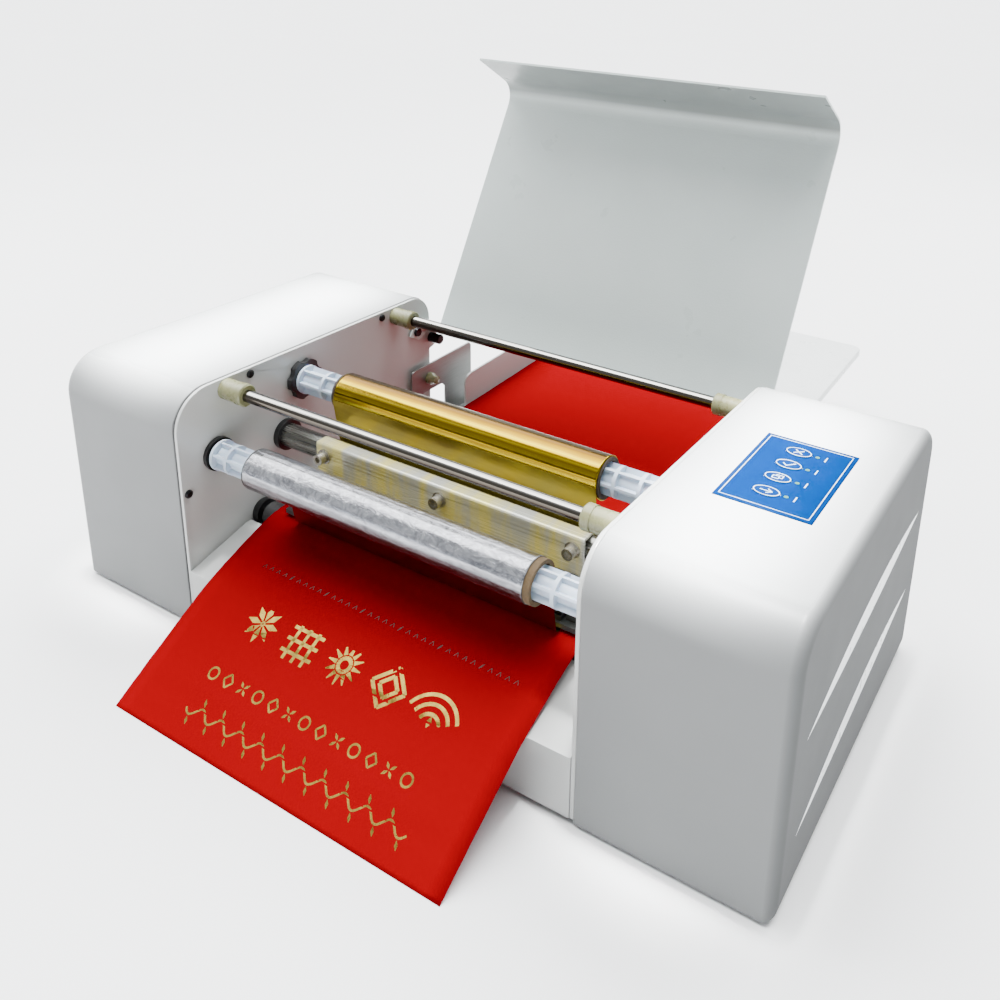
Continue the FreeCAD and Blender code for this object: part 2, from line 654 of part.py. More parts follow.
def roll(name, foil, core, first_ring, lean, flange):
    """One roll's turning parts and latch hub; its bearing is handed back."""
    y, z = depth(name + "_depth"), name + "_height"
    part(name + "_spindle", spindle(name + "_spindle_solid", y, z, first_ring, lean))
    part(name + "_core", ring(name + "_core_body", *core, "core_bore", "core_round", y, z))
    part(name + "_foil", ring(name + "_foil_body", *foil, "core_round", name + "_round", y, z))
    profile = [("-202", "0"), ("-202", "5"), ("-176.4", "5"), ("-176.4", "11"), ("-171", "11"),
               ("-171", "6.4"), ("-156", "6.4"), ("-155", "5.4"), ("-155", "0")]
    arbor = turned(name + "_arbor", profile, y, z)
    part(name + "_hub", fuse(name + "_hub_solid", [arbor, flange(y, z)]))
    bearing = ring(name + "_bearing_body", "-half_gap - plate - 3", "-half_gap - 0.1", "bearing_bore",
                   "bearing_round", y, z)
    profile = [("165", "0"), ("165", "5.2"), ("166", "6"), ("172", "6"), ("172", "10"), ("180.2", "10"),
               ("180.2", "12"), ("182", "12"), ("182", "10"), ("192", "10"), ("192", "0")]
    part(name + "_latch_hub", turned(name + "_latch_body", profile, y, z))
    return bearing


COIL_PITCH, COIL_LENGTH, COIL_ROUND, WIRE_ROUND = 3.4, 17, 7, 0.62


def latch_springs():
    """Coil springs that press the latch hubs towards the spindles."""
    springs = []
    for at, up in (("supply_depth", "supply_height"), ("takeup_depth", "takeup_height")):
        helix = Part.makeHelix(COIL_PITCH, COIL_LENGTH, COIL_ROUND)
        corners = []
        for i in range(8):
            angle = math.radians(22.5 + 45 * i)
            out, up_by = WIRE_ROUND * math.cos(angle), WIRE_ROUND * math.sin(angle)
            corners.append(Vector(COIL_ROUND + out, 0, up_by))
        start = Part.makePolygon(corners + [corners[0]])
        coil = Part.Wire(helix).makePipeShell([start], True, True)
        turn = Placement(Vector(192.7, at_depth(DIM[at]), DIM[up]), TURNS["x"])
        coil.Placement = turn
        springs.append(shaped(f"{at}_spring", coil))
    part("latch_springs", group("spring_pair", springs))
    cups = []
    for at, up in (("supply_depth", "supply_height"), ("takeup_depth", "takeup_height")):
        profile = [("half_gap + plate", "12.5"), ("211", "12.5"), ("211", "3"), ("213", "3"), ("213", "15"),
                   ("half_gap + plate", "15")]
        cups.append(turned(f"{at}_cup", profile, depth(at), up))
    part("latch_housings", group("latch_cup_pair", cups))


def tangent(point, centre, radius, side):
    """Where a line from a point touches a circle, on the side asked for."""
    dy, dz = centre[0] - point[0], centre[1] - point[1]
    reach = math.hypot(dy, dz)
    angle = math.atan2(dz, dy) + side * math.asin(radius / reach)
    run = math.sqrt(reach * reach - radius * radius)
    return point[0] + run * math.cos(angle), point[1] + run * math.sin(angle)


WEB_THICK = 0.15
WEB_LEVEL = 82


def flat_web(name, points):
    """A thin web along straight runs, thickened on its outer side."""
    left, right = -DIM["foil_half"], DIM["foil_half"]
    count = len(points)
    normals = []
    for i in range(count):
        before, after = points[max(i - 1, 0)], points[min(i + 1, count - 1)]
        run = (after[0] - before[0], after[1] - before[1])
        size = math.hypot(*run)
        normals.append((-run[1] / size, run[0] / size))
    back = [(p[0] + n[0] * WEB_THICK, p[1] + n[1] * WEB_THICK) for p, n in zip(points, normals)]
    loop = [Vector(left, at_depth(d), z) for d, z in points + back[::-1]]
    face = Part.Face(Part.makePolygon(loop + [loop[0]]))
    part(name, shaped(name + "_solid", face.extrude(Vector(right - left, 0, 0))))


def bend(corner, radius, start, end, steps=5):
    """Points round a bend whose centre is radius away from the corner line."""
    angles = [math.radians(start + (end - start) * i / steps) for i in range(steps + 1)]
    return [(corner[0] + radius * math.cos(a), corner[1] + radius * math.sin(a)) for a in angles]


def webs():
    roll_centre = (DIM["supply_depth"], DIM["supply_height"])
    top = (roll_centre[0] - DIM["supply_round"] - 0.45, roll_centre[1])
    heel = bend((96.2, WEB_LEVEL + 3), 3, -24, -90)
    flat_web("supply_web", [top, (116.8, 129)] + heel + [(80, WEB_LEVEL)])
    toe_centre = (66, WEB_LEVEL + 3)
    clear = DIM["takeup_round"] + 0.5
    toe = bend(toe_centre, 3, -90, -158)
    goal = tangent(toe[-1], (DIM["takeup_depth"], DIM["takeup_height"]), clear, -1)
    flat_web("takeup_web", [(80, WEB_LEVEL)] + toe + [goal])


# ---- platen and drives ----

def gear(teeth, module, width, bore, phase):
    """A spur gear about +X with straight-flanked teeth and some backlash."""
    tip, root, pitch = (teeth / 2 + 0.75) * module, (teeth / 2 - 1.25) * module, 2 * math.pi / teeth
    points = []
    for i in range(teeth):
        middle = phase + i * pitch
        for share, radius in ((-0.29, root), (-0.1, tip), (0.1, tip), (0.29, root)):
            angle = middle + share * pitch
            points.append(Vector(0, radius * math.cos(angle), radius * math.sin(angle)))
    face = Part.Face(Part.makePolygon(points + [points[0]]))
    solid = face.extrude(Vector(width, 0, 0))
    return solid.cut(Part.makeCylinder(bore, width + 2, Vector(-1, 0, 0), X_AXIS))


def drive_gear(name, teeth, bore, y, z, phase, arc=None):
    """A gear in the left housing's drive bay; arc keeps only a sector of it."""
    width = DIM["drive_far"] - DIM["drive_near"]
    solid = gear(teeth, 1.0, width, bore, phase)
    if arc:
        middle, half = arc
        corner = []
        for angle in (middle - half, middle + half):
            corner.append(Vector(-1, 60 * math.cos(angle), 60 * math.sin(angle)))
        wedge = Part.Face(Part.makePolygon([Vector(-1, 0, 0), *corner, Vector(-1, 0, 0)]))
        boss = Part.makeCylinder(bore + 5, width, Vector(0, 0, 0), X_AXIS)
        hole = Part.makeCylinder(bore, width + 2, Vector(-1, 0, 0), X_AXIS)
        solid = solid.common(wedge.extrude(Vector(width + 2, 0, 0))).fuse(boss).cut(hole)
    solid.Placement = Placement(Vector(-DIM["drive_far"], at_depth(y), z), Rotation())
    return shaped(name, solid)


TAKEUP_TEETH, TAKEUP_PINION, LIFT_TEETH, LIFT_PINION = 48, 16, 60, 15
PULLEY_BIG, PULLEY_SMALL = 12.0, 8.0
TAKEUP_MOTOR = (DIM["takeup_depth"], DIM["takeup_height"] - (TAKEUP_TEETH + TAKEUP_PINION) / 2)
LIFT_ANGLE = math.radians(-11)
LIFT_SPAN = (LIFT_TEETH + LIFT_PINION) / 2
LIFT_MOTOR = (DIM["shaft_depth"] + LIFT_SPAN * math.cos(LIFT_ANGLE),
              DIM["shaft_height"] + LIFT_SPAN * math.sin(LIFT_ANGLE))
PLATEN_MOTOR = (130, 42)


def motor_shaft(name, place_yz, piece):
    y, z = place_yz
    spindle_rod = rod(name + "_rod", "x", "-motor_face - 12", depth(y), f"{z}", "2.5", "22")
    part(name, fuse(name + "_solid", [piece, spindle_rod]))


def drives():
    y, z = DIM["takeup_depth"], DIM["takeup_height"]
    part("takeup_gear", drive_gear("takeup_gear_solid", TAKEUP_TEETH, 5, y, z, -math.pi / 2))
    pinion = drive_gear("takeup_pinion_teeth", TAKEUP_PINION, 2.4, *TAKEUP_MOTOR,
                        math.pi / 2 + math.pi / TAKEUP_PINION)
    motor_shaft("takeup_pinion", TAKEUP_MOTOR, pinion)
    y, z = DIM["shaft_depth"], DIM["shaft_height"]
    sector = drive_gear("lift_sector_solid", LIFT_TEETH, DIM["shaft_round"], y, z, LIFT_ANGLE,
                        (LIFT_ANGLE, math.radians(20)))
    part("lift_sector", sector)
    pinion = drive_gear("lift_pinion_teeth", LIFT_PINION, 2.4, *LIFT_MOTOR,
                        LIFT_ANGLE + math.pi + math.pi / LIFT_PINION)
    motor_shaft("lift_pinion", LIFT_MOTOR, pinion)
    wheel = ring("motor_pulley_wheel", "-drive_far", "-drive_near", "2.4", f"{PULLEY_SMALL}",
                 depth(PLATEN_MOTOR[0]), f"{PLATEN_MOTOR[1]}")
    motor_shaft("motor_pulley", PLATEN_MOTOR, wheel)
    part("platen_pulley", ring("platen_pulley_body", "-drive_far", "-drive_near", "platen_shaft",
                               f"{PULLEY_BIG}", depth("platen_depth"), "platen_height"))
    part("platen_belt", shaped("belt_solid", belt()))
    motors()


def loop_face(first, second):
    """The face inside a taut band round two circles (y, z, radius)."""
    (y1, z1, r1), (y2, z2, r2) = first, second
    run = math.hypot(y2 - y1, z2 - z1)
    heading, lean = math.atan2(z2 - z1, y2 - y1), math.acos((r1 - r2) / run)
    face = None
    for y, z, radius in (first, second):
        disc = Part.Face(Part.Wire([Part.makeCircle(radius, Vector(0, y, z), X_AXIS)]))
        face = disc if face is None else face.fuse(disc)
    corners = []
    for y, z, radius, sign in ((y1, z1, r1, 1), (y1, z1, r1, -1), (y2, z2, r2, -1), (y2, z2, r2, 1)):
        angle = heading + sign * lean
        corners.append(Vector(0, y + radius * math.cos(angle), z + radius * math.sin(angle)))
    return face.fuse(Part.Face(Part.makePolygon(corners + [corners[0]]))).removeSplitter()


def belt():
    """The toothed belt's plain loop, a little off both pulleys."""
    rings = []
    for gap in (0.35, 1.75):
        first = (at_depth(DIM["platen_depth"]), DIM["platen_height"], PULLEY_BIG + gap)
        second = (at_depth(PLATEN_MOTOR[0]), PLATEN_MOTOR[1], PULLEY_SMALL + gap)
        rings.append(loop_face(first, second).extrude(Vector(5, 0, 0)))
    solid = rings[1].cut(rings[0])
    solid.Placement = Placement(Vector(-DIM["drive_far"] + 1, 0, 0), Rotation())
    return solid


def motors():
    names = {"takeup_motor": TAKEUP_MOTOR, "lift_motor": LIFT_MOTOR, "platen_motor": PLATEN_MOTOR}
    cans, pilot_holes = [], []
    for name, (y, z) in names.items():
        can = block(name + "_can", "-motor_face - 2 - motor_length", depth(f"{y} - motor_size / 2"),
                    f"{z} - motor_size / 2", "motor_length", "motor_size", "motor_size")
        pilot = rod(name + "_pilot", "x", "-motor_face - 2", depth(y), f"{z}", "11", "2")
        bore = rod(name + "_bore", "x", "-motor_face - 12.5", depth(y), f"{z}", "2.9", "16")
        cans.append(cut(name + "_solid", fuse(name + "_fuse", [can, pilot]), [bore]))
        pilot_holes.append((depth(y), f"{z}", "11"))
    part("stepper_motors", group("motor_set", cans))
    made = body("motor_bracket_body")
    corners = [(depth("12"), "base_top"), (depth("12"), "136"), (depth("168"), "150"),
               (depth("168"), "base_top")]
    web = outline(made, "motor_bracket_outline", "YZ_Plane", corners, "-motor_face - 2")
    pad(made, "motor_bracket_web", web, "2")
    holes = circles(made, "motor_bracket_circles", "YZ_Plane", pilot_holes, "-motor_face")
    pocket(made, "motor_bracket_pilots", holes, "2")
    foot = [(depth("12"), "base_top"), (depth("12"), "base_top + 2"), (depth("168"), "base_top + 2"),
            (depth("168"), "base_top")]
    sole = outline(made, "motor_bracket_foot_outline", "YZ_Plane", foot, "-motor_face")
    pad(made, "motor_bracket_foot", sole, "14")
    part("motor_bracket", made)


def platen():
    y, z = depth("platen_depth"), "platen_height"
    part("platen_shaft", rod("platen_shaft_bar", "x", "-202", y, z, "platen_shaft", "381"))
    part("platen_rubber", ring("platen_rubber_body", "-166", "166", "platen_shaft", "platen_round", y, z))
    bushes = []
    for name, side in SIDES.items():
        inner, face, out = f"{side} * (half_gap - 6)", f"{side} * half_gap", f"{side} * (half_gap + plate)"
        profile = [(inner, "platen_shaft + 0.05"), (out, "platen_shaft + 0.05"), (out, "8"), (face, "8"),
                   (face, "11"), (inner, "11")]
        bushes.append(turned(f"platen_bush_{name}", profile, y, z))
    return bushes


# ---- head ----

def head():
    y, z = depth("shaft_depth"), "shaft_height"
    tube = ring("head_tube", "-203", "179", "shaft_round - 3", "shaft_round", y, z)
    screw_bores = [rod(f"head_screw_bore_{i}", "y", f"{x}", depth("94"), "130.5", "2.5", "6")
                   for i, x in enumerate(HEAD_SCREWS)]
    part("head_shaft", cut("head_shaft_solid", tube, screw_bores))
    bushes = []
    for name, side in SIDES.items():
        inner, face, out = f"{side} * (half_gap - 5)", f"{side} * half_gap", f"{side} * (half_gap + plate)"
        profile = [(inner, "shaft_round + 0.05"), (out, "shaft_round + 0.05"), (out, "12"), (face, "12"),
                   (face, "13.5"), (inner, "13.5")]
        bushes.append(turned(f"head_bush_{name}", profile, y, z))
    head_bracket()
    head_screws()
    sink = block("heatsink_blank", "-124", depth("70"), "87", "248", "22.3", "24")
    grooves_cut = [block(f"heatsink_slot_{i}", "-125", depth("69"), f"91 + {i} * 5", "250", "14", "2.5")
                   for i in range(4)]
    part("head_heatsink", cut("heatsink_solid", sink, grooves_cut))
    board = block("head_board", "-141", depth("68"), "83.2", "282", "28", "3.8")
    line = rod("heater_line", "x", "-124", depth("76"), "83.6", "1.1", "248")
    plugs = [block(f"head_plug_{i}", f"{x}", depth("74"), "87", "14", "16", "9")
             for i, x in enumerate((-140, 126))]
    part("print_head", fuse("print_head_solid", [board, line] + plugs))
    return bushes


HEAD_SCREWS = (-118.8, 0, 118.8)


def head_bracket():
    points = [(depth("92.3"), "100"), (depth("92.3"), "141.4"), (depth("104"), "141.4"),
              (depth("104"), "139.4"),
              (depth("94.3"), "139.4"), (depth("94.3"), "100")]
    made = sheet_metal("head_bracket_body", points, "-127.8", "255.6")
    at_y, at_z = value(depth("92.3")), value("141.4")
    fillet(made, "head_bracket_bend", "2.4", lambda e: along(e, X_AXIS)
           and abs(e.CenterOfMass.y - at_y) < 0.05 and abs(e.CenterOfMass.z - at_z) < 0.05)
    holes = [(f"{x}", "130.5", "2.5") for x in HEAD_SCREWS]
    face = circles(made, "head_bracket_holes", "XZ_Plane", holes, "-(front + 92.3)")
    pocket(made, "head_bracket_bores", face, "2", False)
    part("head_bracket", made)


def head_screws():
    """Socket cap screws, each with a flat washer and a spring washer."""
    screws, washers = [], []
    for i, x in enumerate(HEAD_SCREWS):
        cap = rod(f"cap_{i}", "y", f"{x}", depth("84.1"), "130.5", "4.6", "5.8")
        shank = rod(f"shank_{i}", "y", f"{x}", depth("89"), "130.5", "2.5", "9.5")
        socket = doc.addObject("Part::Prism", f"socket_{i}")
        socket.Polygon = 6
        socket.Circumradius = 2.8
        socket.Height = 3
        place(socket, f"{x}", depth("83.6"), "130.5", TURNS["y"])
        screws.append(cut(f"cap_screw_{i}", fuse(f"cap_blank_{i}", [cap, shank]), [socket]))
        for kind, start, radius, thick in (("spring", "89.9", "4.9", "1.2"), ("flat", "91.1", "6.3", "1.2")):
            disc = rod(f"{kind}_disc_{i}", "y", f"{x}", depth(start), "130.5", radius, thick)
            hole = rod(f"{kind}_hole_{i}", "y", f"{x}", depth(f"{start} - 1"), "130.5", "2.5", "4")
            washers.append(cut(f"{kind}_washer_{i}", disc, [hole]))
    part("head_screws", group("head_screw_set", screws + washers))


# ---- controls and electrics ----

def ellipse_solid(x, y, low, high, long_half, short_half):
    curve = Part.Ellipse(Vector(x, y, low), long_half, short_half)
    return Part.Face(Part.Wire([curve.toShape()])).extrude(Vector(0, 0, high - low))


def controls():
    top = DIM["height"]
    rows = [at_depth(DIM["key_first"] + i * DIM["key_pitch"]) for i in range(4)]
    blank = block("keypad_blank", "panel_left + 0.2", depth("panel_front + 0.2"), "height - 1",
                  "panel_right - panel_left - 0.4", "panel_back - panel_front - 0.4", "1.7")
    holes = [shaped(f"key_hole_{i}", ellipse_solid(DIM["key_column"], y, top - 2, top + 2, 9.8, 6.6))
             for i, y in enumerate(rows)]
    lamps = [rod(f"lamp_hole_{i}", "z", "lamp_column", f"{y}", "height - 2", "1.5", "4")
             for i, y in enumerate(rows)]
    part("keypad_overlay", cut("keypad_solid", blank, holes + lamps))
    for i, y in enumerate(rows, 1):
        cap = ellipse_solid(DIM["key_column"], y, top - 0.4, top + 1, 9.4, 6.2)
        stem = Part.makeCylinder(3, 8, Vector(DIM["key_column"], y, top - 8.2))
        part(f"key_{i}", shaped(f"key_{i}_solid", cap.fuse(stem)))
    lights = [rod(f"lamp_{i}", "z", "lamp_column", f"{y}", "height - 9.6", "1.5", "10.4")
              for i, y in enumerate(rows)]
    board = block("control_board_sheet", "panel_left + 4", depth("panel_front + 6"), "height - 12",
                  "60", "88", "1.6")
    bore = [rod(f"board_bore_{i}", "z", "lamp_column", f"{y}", "height - 13", "1.5", "4")
            for i, y in enumerate(rows)]
    switches = [block(f"tact_switch_{i}", "key_column - 3", f"{y} - 3", "height - 10.4", "6", "6", "1.6")
                for i, y in enumerate(rows)]
    return lights + [cut("control_board_solid", fuse("control_board_fuse", [board] + switches), bore)]


def electrics():
    supply = block("supply_case", "half_gap + 24", depth("170"), "base_top", "98", "92", "42")
    part("power_supply", supply)
    sheet = block("main_board_sheet", "half_gap + 20", depth("40"), "14", "100", "110", "1.6")
    chips = [block("driver_chip", "half_gap + 34", depth("60"), "15.6", "16", "16", "2.5"),
             block("processor_chip", "half_gap + 70", depth("90"), "15.6", "22", "22", "2")]
    posts = [rod(f"board_post_{i}", "z", f"half_gap + {x}", depth(f"{y}"), "base_top", "3", "9")
             for i, (x, y) in enumerate(((25, 45), (115, 45), (25, 145), (115, 145)))]
    main_board = fuse("main_board_solid", [sheet] + chips + posts)
    rear = "depth - wall"
    flange = block("inlet_flange", "half_gap + 24", depth("depth"), "27", "39", "2", "26")
    case = block("inlet_case", "half_gap + 30", depth(f"{rear} - 18"), "30", "27.6", "21", "20")
    hollow = block("inlet_hollow", "half_gap + 32", depth(f"{rear} - 12"), "32", "23.6", "22", "16")
    pins = [block(f"inlet_pin_{i}", f"half_gap + {x}", depth(f"{rear} - 14"), f"{z}", "2", "14", "4")
            for i, (x, z) in enumerate(((36.3, 36), (42.8, 40), (49.3, 36)))]
    shell = cut("inlet_shell", fuse("inlet_blank", [case, flange]), [hollow])
    inlet = fuse("inlet_solid", [shell] + pins)
    case = block("switch_case", "half_gap + 66", depth(f"{rear} - 14"), "33", "19", "17", "13")
    bezel = block("switch_bezel", "half_gap + 64", depth("depth"), "31", "23", "2", "17")
    hollow = block("switch_hollow", "half_gap + 67.5", depth(f"{rear} - 6"), "34.2", "16", "12", "10.6")
    axle = rod("switch_axle", "x", "half_gap + 67", depth(f"{rear} - 2"), "39.5", "1.2", "17")
    shell = cut("switch_shell", fuse("switch_blank", [case, bezel]), [hollow])
    part("power_switch", fuse("switch_solid", [shell, axle]))
    part("power_rocker", shaped("rocker_solid", rocker()))
    case = block("usb_case", "half_gap + 100", depth(f"{rear} - 16"), "30", "12.4", "20", "11.4")
    hollow = block("usb_hollow", "half_gap + 101.2", depth(f"{rear} - 12"), "31.2", "10", "18", "9")
    tongue = block("usb_tongue", "half_gap + 103.2", depth(f"{rear} - 12"), "34.4", "6", "12", "2.6")
    data_socket = fuse("usb_solid", [cut("usb_shell", case, [hollow]), tongue])
    part("rear_sockets", group("socket_pair", [inlet, data_socket]))
    return main_board


ROCKER_TILT = 8


def rocker():
    """A rocker cap on its axle, at rest tilted to its off position."""
    left = DIM["half_gap"] + 68
    face = at_depth(DIM["depth"] - DIM["wall"])
    axle_y, axle_z = face - 2, 39.5
    points = [(-3.2, -3), (-3.2, 3), (5.4, 4.4), (4.4, 0), (5.4, -4.4)]
    corners = [Vector(0, y, z) for y, z in points]
    cap = Part.Face(Part.makePolygon(corners + [corners[0]])).extrude(Vector(15, 0, 0))
    cap = cap.cut(Part.makeCylinder(1.25, 17, Vector(-1, 0, 0), X_AXIS))
    cap.Placement = Placement(Vector(left, axle_y, axle_z), Rotation(X_AXIS, -ROCKER_TILT))
    return cap


# ---- assembly ----

base_chassis()
for side_name, side_sign in SIDES.items():
    side_plate(side_name + "_side_plate", side_sign)
    cover(side_name + "_cover", side_sign)
fasteners()
tie_rods()
front_fascia()
paper_bed()
printed_sheet()
feed_tray()
hook_pins = tray_fittings()
paper_guide()
lid()
part("side_plate_studs", group("stud_set", hook_pins + lid_hardware()))
supply_bearing = roll("supply", ("-foil_half", "foil_half"), ("-foil_half - 3", "foil_half + 1"), -146, 25,
                      lambda y, z: lobed("supply_flange", "-176.4", 6, "6", "17.6", "5", y, z))
takeup_bearing = roll("takeup", ("-131", "125.5"), ("-131", "130.5"), -156, 5,
                      lambda y, z: ring("takeup_flange", "-176.4", "-173", "6", "13.8", y, z))
part("roll_bearings", group("bearing_pair", [supply_bearing, takeup_bearing]))
latch_springs()
webs()
part("shaft_bushes", group("shaft_bush_set", platen() + head()))
drives()
part("circuit_boards", group("board_set", controls() + [electrics()]))
doc.recompute()

# ---- checks and files ----

for thing in doc.Objects:
    if "Invalid" in thing.State or "Error" in thing.State:
        raise RuntimeError(f"{thing.Name} failed: {thing.State}")
os.makedirs("parts", exist_ok=True)
for name, thing in parts.items():
    shape = thing.Shape
    if shape.isNull() or not shape.isValid() or not shape.Solids:
        raise RuntimeError(name + " has no valid shape")
    shape.exportStep(f"parts/{name}.step")
print(len(parts), "sub-parts")
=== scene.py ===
import json
import math

import bpy
import numpy as np
from mathutils import Euler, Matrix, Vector


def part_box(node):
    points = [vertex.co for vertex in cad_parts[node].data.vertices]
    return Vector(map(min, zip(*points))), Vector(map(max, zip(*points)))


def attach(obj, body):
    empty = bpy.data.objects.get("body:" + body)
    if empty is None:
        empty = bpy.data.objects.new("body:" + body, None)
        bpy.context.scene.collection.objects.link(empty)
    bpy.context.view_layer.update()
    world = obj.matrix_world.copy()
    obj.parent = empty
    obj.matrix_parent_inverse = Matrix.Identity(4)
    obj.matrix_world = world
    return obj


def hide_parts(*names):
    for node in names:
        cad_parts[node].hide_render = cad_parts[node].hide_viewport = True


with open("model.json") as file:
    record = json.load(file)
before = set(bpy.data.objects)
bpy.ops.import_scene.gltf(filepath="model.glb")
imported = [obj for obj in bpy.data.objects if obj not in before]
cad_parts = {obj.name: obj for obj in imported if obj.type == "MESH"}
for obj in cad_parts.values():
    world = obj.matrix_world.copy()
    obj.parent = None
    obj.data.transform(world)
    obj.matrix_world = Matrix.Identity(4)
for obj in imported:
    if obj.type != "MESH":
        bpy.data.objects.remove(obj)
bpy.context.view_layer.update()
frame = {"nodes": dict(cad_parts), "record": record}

MM = 0.001
FRONT_TO_ORIGIN = 303  # millimetres from the housings' front to the frame's origin
NODES = frame["nodes"]
RNG = np.random.default_rng(7)


# ---- camera, light and floor ----

CAMERA_PLACE = (0.4287, -0.7305, 0.5354)
CAMERA_TURN = (71.915, -2.032, 30.487)
CAMERA_LENS = 35.99
CAMERA_SHIFT = (-0.0981, -0.231)


def add_camera():
    data = bpy.data.cameras.new("camera")
    data.lens = CAMERA_LENS
    data.sensor_width = 36
    data.shift_x, data.shift_y = CAMERA_SHIFT
    data.clip_start = 0.01
    camera = bpy.data.objects.new("camera", data)
    camera.location = CAMERA_PLACE
    camera.rotation_euler = Euler([math.radians(a) for a in CAMERA_TURN])
    bpy.context.scene.collection.objects.link(camera)
    bpy.context.scene.camera = camera


def area_light(name, place, target, size, power, spread=180):
    data = bpy.data.lights.new(name, "AREA")
    data.shape = "RECTANGLE"
    data.size, data.size_y = size
    data.energy = power
    data.spread = math.radians(spread)
    lamp = bpy.data.objects.new(name, data)
    lamp.location = place
    aim = Vector(target) - Vector(place)
    lamp.rotation_euler = aim.to_track_quat("-Z", "Y").to_euler()
    bpy.context.scene.collection.objects.link(lamp)


SKY_COLOUR = (0.93, 0.965, 1.0, 1)
SKY_SLOPE = (-0.26, 0.10, 0.50)
SKY_MIDDLE, SKY_LOWEST = 0.36, 0.07


def add_world():
    """Pale surroundings: brightest overhead and to the left, dim to the front and right."""
    world = bpy.data.worlds.new("studio")
    world.use_nodes = True
    tree = world.node_tree
    place = tree.nodes.new("ShaderNodeTexCoord")
    side = tree.nodes.new("ShaderNodeVectorMath")
    side.operation = "DOT_PRODUCT"
    side.inputs[1].default_value = SKY_SLOPE
    lift = tree.nodes.new("ShaderNodeMath")
    lift.inputs[1].default_value = SKY_MIDDLE
    lowest = tree.nodes.new("ShaderNodeMath")
    lowest.operation = "MAXIMUM"
    lowest.inputs[1].default_value = SKY_LOWEST
    background = tree.nodes["Background"]
    background.inputs["Color"].default_value = SKY_COLOUR
    tree.links.new(place.outputs["Generated"], side.inputs[0])
    tree.links.new(side.outputs["Value"], lift.inputs[0])
    tree.links.new(lift.outputs[0], lowest.inputs[0])
    tree.links.new(lowest.outputs[0], background.inputs["Strength"])
    bpy.context.scene.world = world


def add_sun():
    data = bpy.data.lights.new("overhead", "SUN")
    data.energy = 12.5
    data.angle = math.radians(75)
    data.color = (0.985, 0.995, 1.0)
    lamp = bpy.data.objects.new("overhead", data)
    lamp.rotation_euler = (math.radians(-14), math.radians(-12), 0)
    bpy.context.scene.collection.objects.link(lamp)


MACHINE_MIDDLE = (0, -0.1, 0.15)


def add_light():
    add_world()
    add_sun()
    area_light("left_window", (-1.7, -0.5, 1.1), MACHINE_MIDDLE, (1.0, 1.0), 22)
    area_light("back_strip", (0.4, 1.6, 1.4), MACHINE_MIDDLE, (1.8, 0.3), 26)
    for name, x in (("left_box", -0.252), ("right_box", 0.232)):
        area_light(name, (x, -0.16, 0.7), (x, -0.159, 0.2), (0.1, 0.27), 1.7, 13)


def add_floor():
    mesh = bpy.data.meshes.new("floor")
    reach = 40
    corners = [(-reach, -reach, 0), (reach, -reach, 0), (reach, reach, 0), (-reach, reach, 0)]
    mesh.from_pydata(corners, [], [(0, 1, 2, 3)])
    floor = bpy.data.objects.new("floor", mesh)
    bpy.context.scene.collection.objects.link(floor)
    return floor


# ---- materials ----

class Graph:
    """A small helper round a material's node tree."""

    def __init__(self, name):
        self.name = name
        self.material = bpy.data.materials.new(name)
        self.material.use_nodes = True
        self.tree = self.material.node_tree
        self.shader = self.tree.nodes["Principled BSDF"]
        self.place = self.add("ShaderNodeTexCoord").outputs["Object"]
        self.height = None

    def add(self, kind, **settings):
        node = self.tree.nodes.new(kind)
        for key, setting in settings.items():
            if key in node.inputs:
                node.inputs[key].default_value = setting
            else:
                setattr(node, key, setting)
        return node

    def link(self, source, target):
        self.tree.links.new(source, target)

    def fixed(self, **sockets):
        for key, setting in sockets.items():
            self.shader.inputs[key.replace("_", " ")].default_value = setting

    def stretched(self, scale):
        """Object coordinates, per metre, stretched by a scale for each axis."""
        mapping = self.add("ShaderNodeMapping")
        mapping.inputs["Scale"].default_value = scale
        self.link(self.place, mapping.inputs["Vector"])
        return mapping.outputs["Vector"]

    def noise(self, scale, detail=3.0, rough=0.5, distortion=0.0):
        node = self.add("ShaderNodeTexNoise")
        node.inputs["Scale"].default_value = 1.0
        node.inputs["Detail"].default_value = detail
        node.inputs["Roughness"].default_value = rough
        node.inputs["Distortion"].default_value = distortion
        self.link(self.stretched(scale), node.inputs["Vector"])
        return node.outputs["Fac"]

    def between(self, factor, low, high, start=0.3, end=0.7):
        node = self.add("ShaderNodeMapRange")
        for socket, number in (("From Min", start), ("From Max", end), ("To Min", low), ("To Max", high)):
            node.inputs[socket].default_value = number
        self.link(factor, node.inputs["Value"])
        return node.outputs["Result"]

    def tint(self, factor, first, second, start=0.3, end=0.7):
        ramp = self.add("ShaderNodeValToRGB")
        ramp.color_ramp.elements[0].position = start
        ramp.color_ramp.elements[0].color = (*first, 1)
        ramp.color_ramp.elements[1].position = end
        ramp.color_ramp.elements[1].color = (*second, 1)
        self.link(factor, ramp.inputs["Fac"])
        return ramp.outputs["Color"]

    def bump(self, factor, depth_mm, strength=1.0):
        node = self.add("ShaderNodeBump")
        node.inputs["Strength"].default_value = strength
        node.inputs["Distance"].default_value = depth_mm * MM
        self.link(factor, node.inputs["Height"])
        if self.height is not None:
            self.link(self.height, node.inputs["Normal"])
        self.height = node.outputs["Normal"]
        self.link(self.height, self.shader.inputs["Normal"])


